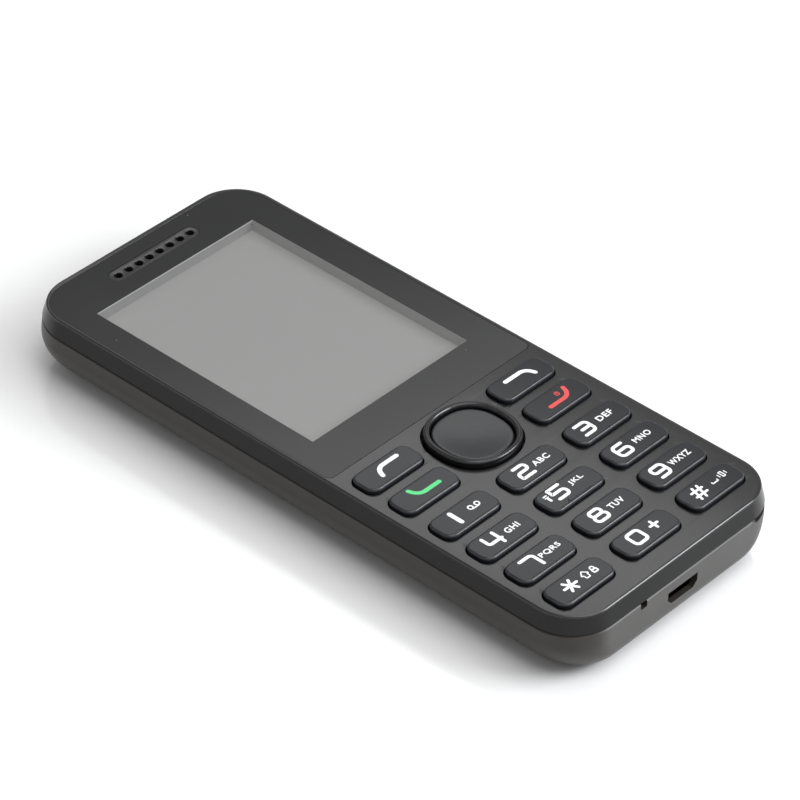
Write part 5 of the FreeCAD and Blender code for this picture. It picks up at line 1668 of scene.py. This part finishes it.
@dataclass
class Navigator:
    """Rocking ring and the select key inside it."""

    y: float = -17.5
    outer: Triple = (15.66, 15.55, 2.24)
    inner: Triple = (13.05, 13.35, 2.32)
    flange: float = 0.87
    low: float = 10.15
    section: tuple[tuple[float, float], ...] = ((0.0, 10.5), (0.0, 12.86), (0.03, 13.06), (0.11, 13.26),
                                                (0.23, 13.41), (0.4, 13.49), (0.55, 13.5), (0.68, 13.44),
                                                (0.82, 13.27), (0.93, 13.05), (1.0, 12.78), (1.0, 10.5))
    select_size: Triple = (12.66, 12.9, 2.35)
    select_top: float = 12.81
    select_edge: float = 0.35
    select_flange: float = 0.6
    select_shoulder: float = 10.75
    select_low: float = 10.35
    stem: float = 3.0
    stem_low: float = 9.2
    dish_depth: float = 0.3
    dish_curve: float = 1.5
    dish_rounding: float = 0.3
    dish_rings: tuple[float, ...] = (0.88, 0.8, 0.7, 0.6, 0.5, 0.4, 0.3, 0.2, 0.1)

    def ring_loop(self, share: float, grown: float = 0.0) -> Loop:
        """Outline between the ring's outer and inner walls."""
        width, length, power = (a + (b - a) * share for a, b in zip(self.outer, self.inner))
        return squircle(width + 2 * grown, length + 2 * grown, power, self.y)

    def ring(self, rack: FinishRack) -> bpy.types.Object:
        """Ring with its flange, in place of its CAD node.

        Args:
            rack: the finishes.

        Returns:
            The ring.
        """
        shoulder = self.section[0][1]
        maker = MeshMaker()
        rings = maker.stack([(self.ring_loop(1.0), self.low), (self.ring_loop(0.0, self.flange), self.low),
                             (self.ring_loop(0.0, self.flange), shoulder)]
                            + [(self.ring_loop(share), z) for share, z in self.section])
        maker.bridge(rings[-1], rings[0])
        piece = maker.build("ring_moulding", 34.0)
        rack.dress(piece, "ring_plastic")
        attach(piece, Body.RING.value)
        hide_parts("nav_ring")
        return piece

    def select(self, rack: FinishRack) -> bpy.types.Object:
        """Select key with a shallow dish, its flange and its stem, in place of its CAD node.

        Args:
            rack: the finishes.

        Returns:
            The key.
        """
        width, length, power = self.select_size
        top = [(squircle(width - 2 * inset, length - 2 * inset, power, self.y), self.select_top - drop)
               for inset, drop in round_over(self.select_edge, 4)]
        dish = [(squircle(width * share, length * share, power - (1 - share) * self.dish_rounding, self.y),
                 self.select_top - self.dish_depth * (1 - share ** 2) ** self.dish_curve)
                for share in self.dish_rings]
        stem = squircle(self.stem, self.stem, 2.0, self.y)
        flange = squircle(width + self.select_flange, length + self.select_flange, power, self.y)
        maker = MeshMaker()
        maker.closed([(stem, self.stem_low), (stem, self.select_low), (flange, self.select_low),
                      (flange, self.select_shoulder),
                      (squircle(width, length, power, self.y), self.select_shoulder)] + top + dish)
        piece = maker.build("select_cap", 34.0)
        rack.dress(piece, "select_plastic")
        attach(piece, Body.SELECT.value)
        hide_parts("ok_key")
        return piece

    def build(self, rack: FinishRack) -> list[bpy.types.Object]:
        """Ring and select key."""
        return [self.ring(rack), self.select(rack)]


@dataclass
class RearCover:
    """Snap-on shell with its ports."""

    outer: CaseOutline = (25.93, 0.0, -61.53, 61.53, 8.6, 10.0)
    room: CaseOutline = (25.93, 0.0, -61.53, 61.53, 8.6, 8.6)
    rim: float = 9.42
    sweep_in: float = 9.0
    sweep_up: float = 7.0
    near_in: float = 5.5
    near_up: float = 4.3
    sweep_steps: int = 16
    wall: float = 1.0
    groove: float = 0.18
    end_cut: tuple[float, float] = (56.0, 63.0)
    port: tuple[Point, ...] = ((-2.65, -1.25), (2.65, -1.25), (3.63, -0.27), (3.63, 1.25), (-3.63, 1.25),
                               (-3.63, -0.27))
    port_z: float = 6.2
    jack_diameter: float = 5.8
    jack_x: float = 13.0
    torch_diameter: float = 3.0
    far_z: float = 5.1
    mic_slot: tuple[float, float, float, float, float, int] = (1.5, 2.32, 0.3, -9.65, 3.22, 4)
    notch_size: float = 16.0
    notch_corner: float = 0.9
    notch_span: tuple[float, float] = (8.72, 9.6)
    camera_diameter: float = 5.8
    camera_seat: float = 6.9
    camera_seat_top: float = 0.85
    camera_y: float = 45.5
    slot_size: Triple = (9.0, 1.0, 0.49)
    slot_place: Point = (-10.5, 30.3)
    slot_pitch: float = 2.0
    slots: int = 3
    cut_low: float = -0.5
    cut_top: float = 2.0
    camera_cut_low: float = 0.05
    least_foot: float = 1.0

    def swept(self, sizes: CaseOutline, wall: float) -> list[tuple[Loop, float]]:
        """Loops of a bottom that sweeps from the side to the flat back.

        Args:
            sizes: the outline at the side.
            wall: how far the surface lies inside the outer one.

        Returns:
            Loops and heights, from the side downwards.
        """
        half, shift, near, far, foot, head = sizes
        levels = []
        for index in range(self.sweep_steps + 1):
            turn = math.pi / 2 * index / self.sweep_steps
            inset = wall + (self.sweep_in - wall) * (1 - math.cos(turn))
            z = wall + (self.sweep_up - wall) * (1 - math.sin(turn))
            below = min(max((self.near_up - z) / (self.near_up - wall), 0.0), 1.0)
            near_inset = wall + (self.near_in - wall) * (1 - math.sqrt(1 - below * below))
            levels.append((case_loop((half - inset, shift, near + near_inset, far - inset,
                                      max(foot - near_inset, self.least_foot),
                                      max(head - inset, LEAST_CORNER))), z))
        return levels

    def shell(self) -> bpy.types.Object:
        """Closed shell without openings.

        Returns:
            The shell.
        """
        maker = MeshMaker()
        seam = FrontHousing().outline
        maker.closed(list(reversed(self.swept(self.outer, 0.0)))
                     + [(seam(0.0), self.rim - self.groove), (seam(0.0, self.groove), self.rim),
                        (case_loop(self.room, self.wall), self.rim)] + self.swept(self.room, self.wall))
        return maker.build("cover_shell", 30.0)

    def cutters(self) -> list[bpy.types.Object]:
        """Blocks for every opening.

        Returns:
            Closed cutters.
        """
        start, end = self.end_cut
        corner = self.outer[0], self.outer[2]
        made = [bored(list(self.port), -end, -start, self.port_z, "port_cutter"),
                bored(self.round_hole(self.jack_diameter, self.jack_x, 0.0, 12), start, end, self.far_z,
                      "jack_cutter"),
                bored(self.round_hole(self.torch_diameter, -self.jack_x, 0.0, 8), start, end, self.far_z,
                      "torch_cutter"),
                bored(rounded(*self.mic_slot), -end, -start, self.port_z, "mic_cutter"),
                prism(rounded(self.notch_size, self.notch_size, self.notch_corner, *corner), *self.notch_span,
                      "pry_cutter"),
                prism(self.round_hole(self.camera_diameter, 0.0, self.camera_y, 14), self.camera_cut_low,
                      self.cut_top, "camera_cutter"),
                prism(self.round_hole(self.camera_seat, 0.0, self.camera_y, 16), self.cut_low,
                      self.camera_seat_top, "seat_cutter")]
        x, y = self.slot_place
        for index in range(self.slots):
            made.append(prism(rounded(*self.slot_size, x, y + self.slot_pitch * (index - 1), 6),
                              self.cut_low, self.cut_top, f"slot_cutter_{index}"))
        return made

    @staticmethod
    def round_hole(diameter: float, x: float, y: float, steps: int) -> Loop:
        """Almost round loop, whose four sides keep a short straight."""
        return rounded(diameter, diameter, diameter / 2 - HAIR_SIDE, x, y, steps)

    def build(self, rack: FinishRack) -> bpy.types.Object:
        """Makes the shell, cuts it and puts it in place of its CAD node.

        Args:
            rack: the finishes.

        Returns:
            The finished piece.
        """
        piece = self.shell()
        piece.modifiers.clear()
        cut_away(piece, self.cutters())
        shade(piece, 30.0)
        rack.dress(piece, "cover_plastic")
        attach(piece, Body.COVER.value)
        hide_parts("rear_cover")
        return piece


@dataclass
class Inside:
    """Repeated parts inside the case."""

    screws: tuple[Point, ...] = ((21.8, 53.5), (-21.8, 53.5), (21.8, -7.2), (-21.8, -7.2), (15.0, -58.3),
                                 (-15.0, -58.3))
    screw_seat: float = 5.5
    head_radius: float = 1.35
    head_height: float = 0.9
    shank_radius: float = 0.8
    shank_length: float = 5.2
    cloth_size: Point = (9.8, 5.8)
    cloth_place: Triple = (-10.5, 30.3, 1.06)
    thread_pitch: float = 0.22
    thread: float = 0.05
    contact_size: Triple = (0.4, 3.2, 0.08)
    contact_place: Triple = (0.0, -56.2, 6.21)
    contact_pitch: float = 0.65
    contacts: int = 5

    def build(self, rack: FinishRack) -> list[bpy.types.Object]:
        """Runs the trees for screws, cloth and socket contacts.

        Args:
            rack: the finishes.

        Returns:
            The finished pieces.
        """
        screws = screw_tree().run("case_screws", [(x, y, self.screw_seat) for x, y in self.screws],
                                  Head_Radius=self.head_radius * MM, Head_Height=self.head_height * MM,
                                  Shank_Radius=self.shank_radius * MM, Shank_Length=self.shank_length * MM,
                                  Material=rack.materials["nickel_plate"])
        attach(screws, Body.HANDSET.value)
        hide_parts("chassis_screws")
        width, length = self.cloth_size
        cloth = weave_tree().run("speaker_cloth", Width=width * MM, Length=length * MM,
                                 Pitch=self.thread_pitch * MM, Thread=self.thread * MM,
                                 Place=metres(self.cloth_place), Material=rack.materials["cloth_thread"])
        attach(cloth, Body.COVER.value)
        strips = strip_tree().run("socket_contacts", Size=metres(self.contact_size),
                                  Pitch=self.contact_pitch * MM, Count=self.contacts,
                                  Place=metres(self.contact_place), Material=rack.materials["gold_contact"])
        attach(strips, Body.HANDSET.value)
        return [screws, cloth, strips]


# The LCD panel takes the display border's finish, with its painted glow.
NODE_FINISHES = {
    "window_adhesive": "frame_print", "earpiece_receiver": "speaker_plastic", "lcd_panel": "display_border_painted_glow",
    "lcd_backlight": "inner_white", "light_guide": "inner_white", "lcd_flex": "amber_film",
    "dome_sheet": "amber_film", "main_antenna": "amber_film", "key_mat": "mat_silicone",
    "microphone_boot": "mat_silicone", "nav_rocker": "chassis_plastic", "usb_tongue": "chassis_plastic",
    "battery_contacts": "chassis_plastic", "audio_jack": "chassis_plastic", "rear_chassis": "chassis_plastic",
    "main_board": "board_mask", "logic_shield": "nickel_plate", "radio_shield": "nickel_plate",
    "sim_socket_left": "nickel_plate", "sim_socket_right": "nickel_plate",
    "memory_card_socket": "nickel_plate", "usb_shell": "nickel_plate", "microphone": "nickel_plate",
    "vibration_motor": "nickel_plate", "vibration_weight": "nickel_plate",
    "loudspeaker": "speaker_plastic", "camera_module": "speaker_plastic", "camera_window": "camera_pane",
    "torch_led": "torch_dome", "battery": "cell_wrap", "speaker_mesh": "backing_film",
}


@dataclass(frozen=True)
class Lamp:
    """Rectangular light that faces the phone, in metres, watts and degrees."""

    name: str
    place: Triple
    size: tuple[float, float]
    power: float
    colour: Colour = (1.0, 1.0, 1.0)
    spin: float = 0.0

    def hang(self) -> None:
        """Adds the light to the scene."""
        data = bpy.data.lights.new(self.name, "AREA")
        data.shape = "RECTANGLE"
        data.size, data.size_y = self.size
        data.energy = self.power
        data.color = self.colour
        lamp = bpy.data.objects.new(self.name, data)
        lamp.location = self.place
        facing = (-Vector(self.place)).to_track_quat("-Z", "Y").to_matrix()
        lamp.rotation_euler = (facing @ Matrix.Rotation(math.radians(self.spin), 3, "Z")).to_euler()
        bpy.context.scene.collection.objects.link(lamp)


@dataclass
class Studio:
    """Floor, lights, world and the photograph's viewpoint."""

    lens_mm: float = 186.97
    sensor_mm: float = 36.0
    sight: tuple[float, float] = (0.02, 20.0)
    place: Triple = (-0.39997, -0.35361, 0.42804)
    turn: Triple = (2.088, -0.91, 0.471)
    floor_size: float = 2400.0
    floor_corner: float = 200.0
    floor_shade: float = 0.90
    floor_roughness: float = 0.14
    floor_patches: float = 0.04
    floor_patch_scale: float = 60.0
    world_strength: float = 0.4
    lamps: tuple[Lamp, ...] = (
        Lamp("top_box", (0.1, -0.32, 0.88), (0.9, 0.9), 6.2),
        Lamp("back_box", (0.498, 0.548, 0.814), (0.69, 0.32), 1.3, spin=14.0),
        Lamp("key_box", (0.5, -0.6, 0.46), (0.5, 0.3), 6.6, (0.94, 0.965, 1.0)))

    def floor(self) -> bpy.types.Object:
        """Pale sheet that the phone lies on.

        Returns:
            The floor.
        """
        maker = MeshMaker()
        maker.cap(maker.loop(rounded(self.floor_size, self.floor_size, self.floor_corner, steps=12), 0.0))
        floor = maker.build("floor", 30.0, outward=False)
        material = bpy.data.materials.new("floor_sheet")
        material.use_nodes = True
        w = Wiring(material.node_tree)
        shader = material.node_tree.nodes["Principled BSDF"]
        place = w.node("ShaderNodeTexCoord").outputs["Object"]
        noise = w.use("ShaderNodeTexNoise", Vector=place, Scale=self.floor_patch_scale).outputs[0]
        w.link(w.maths("MULTIPLY_ADD", noise, self.floor_patches, self.floor_roughness), shader, "Roughness")
        shader.inputs["Base Color"].default_value = (*[self.floor_shade] * 3, 1.0)
        shader.inputs["Specular IOR Level"].default_value = 1.0
        floor.data.materials.append(material)
        return floor

    def light(self) -> None:
        """Soft top light, a strip behind, a key light from the right front and a pale world."""
        for lamp in self.lamps:
            lamp.hang()
        world = bpy.data.worlds.new("studio")
        world.use_nodes = True
        backdrop = world.node_tree.nodes["Background"].inputs
        backdrop["Color"].default_value = (1.0, 1.0, 1.0, 1.0)
        backdrop["Strength"].default_value = self.world_strength
        bpy.context.scene.world = world

    def camera(self) -> None:
        """Camera at the photograph's place."""
        data = bpy.data.cameras.new("photo_camera")
        data.lens = self.lens_mm
        data.sensor_width = self.sensor_mm
        data.clip_start, data.clip_end = self.sight
        camera = bpy.data.objects.new("photo_camera", data)
        axis = Vector(self.turn)
        seen = Matrix.Rotation(axis.length, 3, axis.normalized())
        facing = seen.transposed() @ Matrix(((1, 0, 0), (0, -1, 0), (0, 0, -1)))
        camera.matrix_world = Matrix.Translation(self.place) @ facing.to_4x4()
        bpy.context.scene.collection.objects.link(camera)
        bpy.context.scene.camera = camera

    def build(self) -> None:
        """Floor, lights, camera and a plain tone curve."""
        bpy.context.scene.view_settings.view_transform = "Standard"
        self.floor()
        self.light()
        self.camera()


def main() -> None:
    """Builds every sub-assembly in order and reports each piece."""
    logging.basicConfig(level=logging.INFO, format="%(name)s: %(message)s")
    rack = FinishRack()
    pieces: list[bpy.types.Object] = [FrontHousing().build(rack)]
    pieces += DisplayWindow().build(rack)
    pieces.append(Earpiece().build(rack))
    pieces += Keypad().build(rack)
    pieces += Navigator().build(rack)
    pieces.append(RearCover().build(rack))
    pieces += Inside().build(rack)
    for node, finish in NODE_FINISHES.items():
        rack.repaint(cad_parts[node], finish)
    Studio().build()
    for piece in pieces:
        LOG.info("%s: %d faces", piece.name, len(piece.data.polygons))


if __name__ == "__main__":
    main()
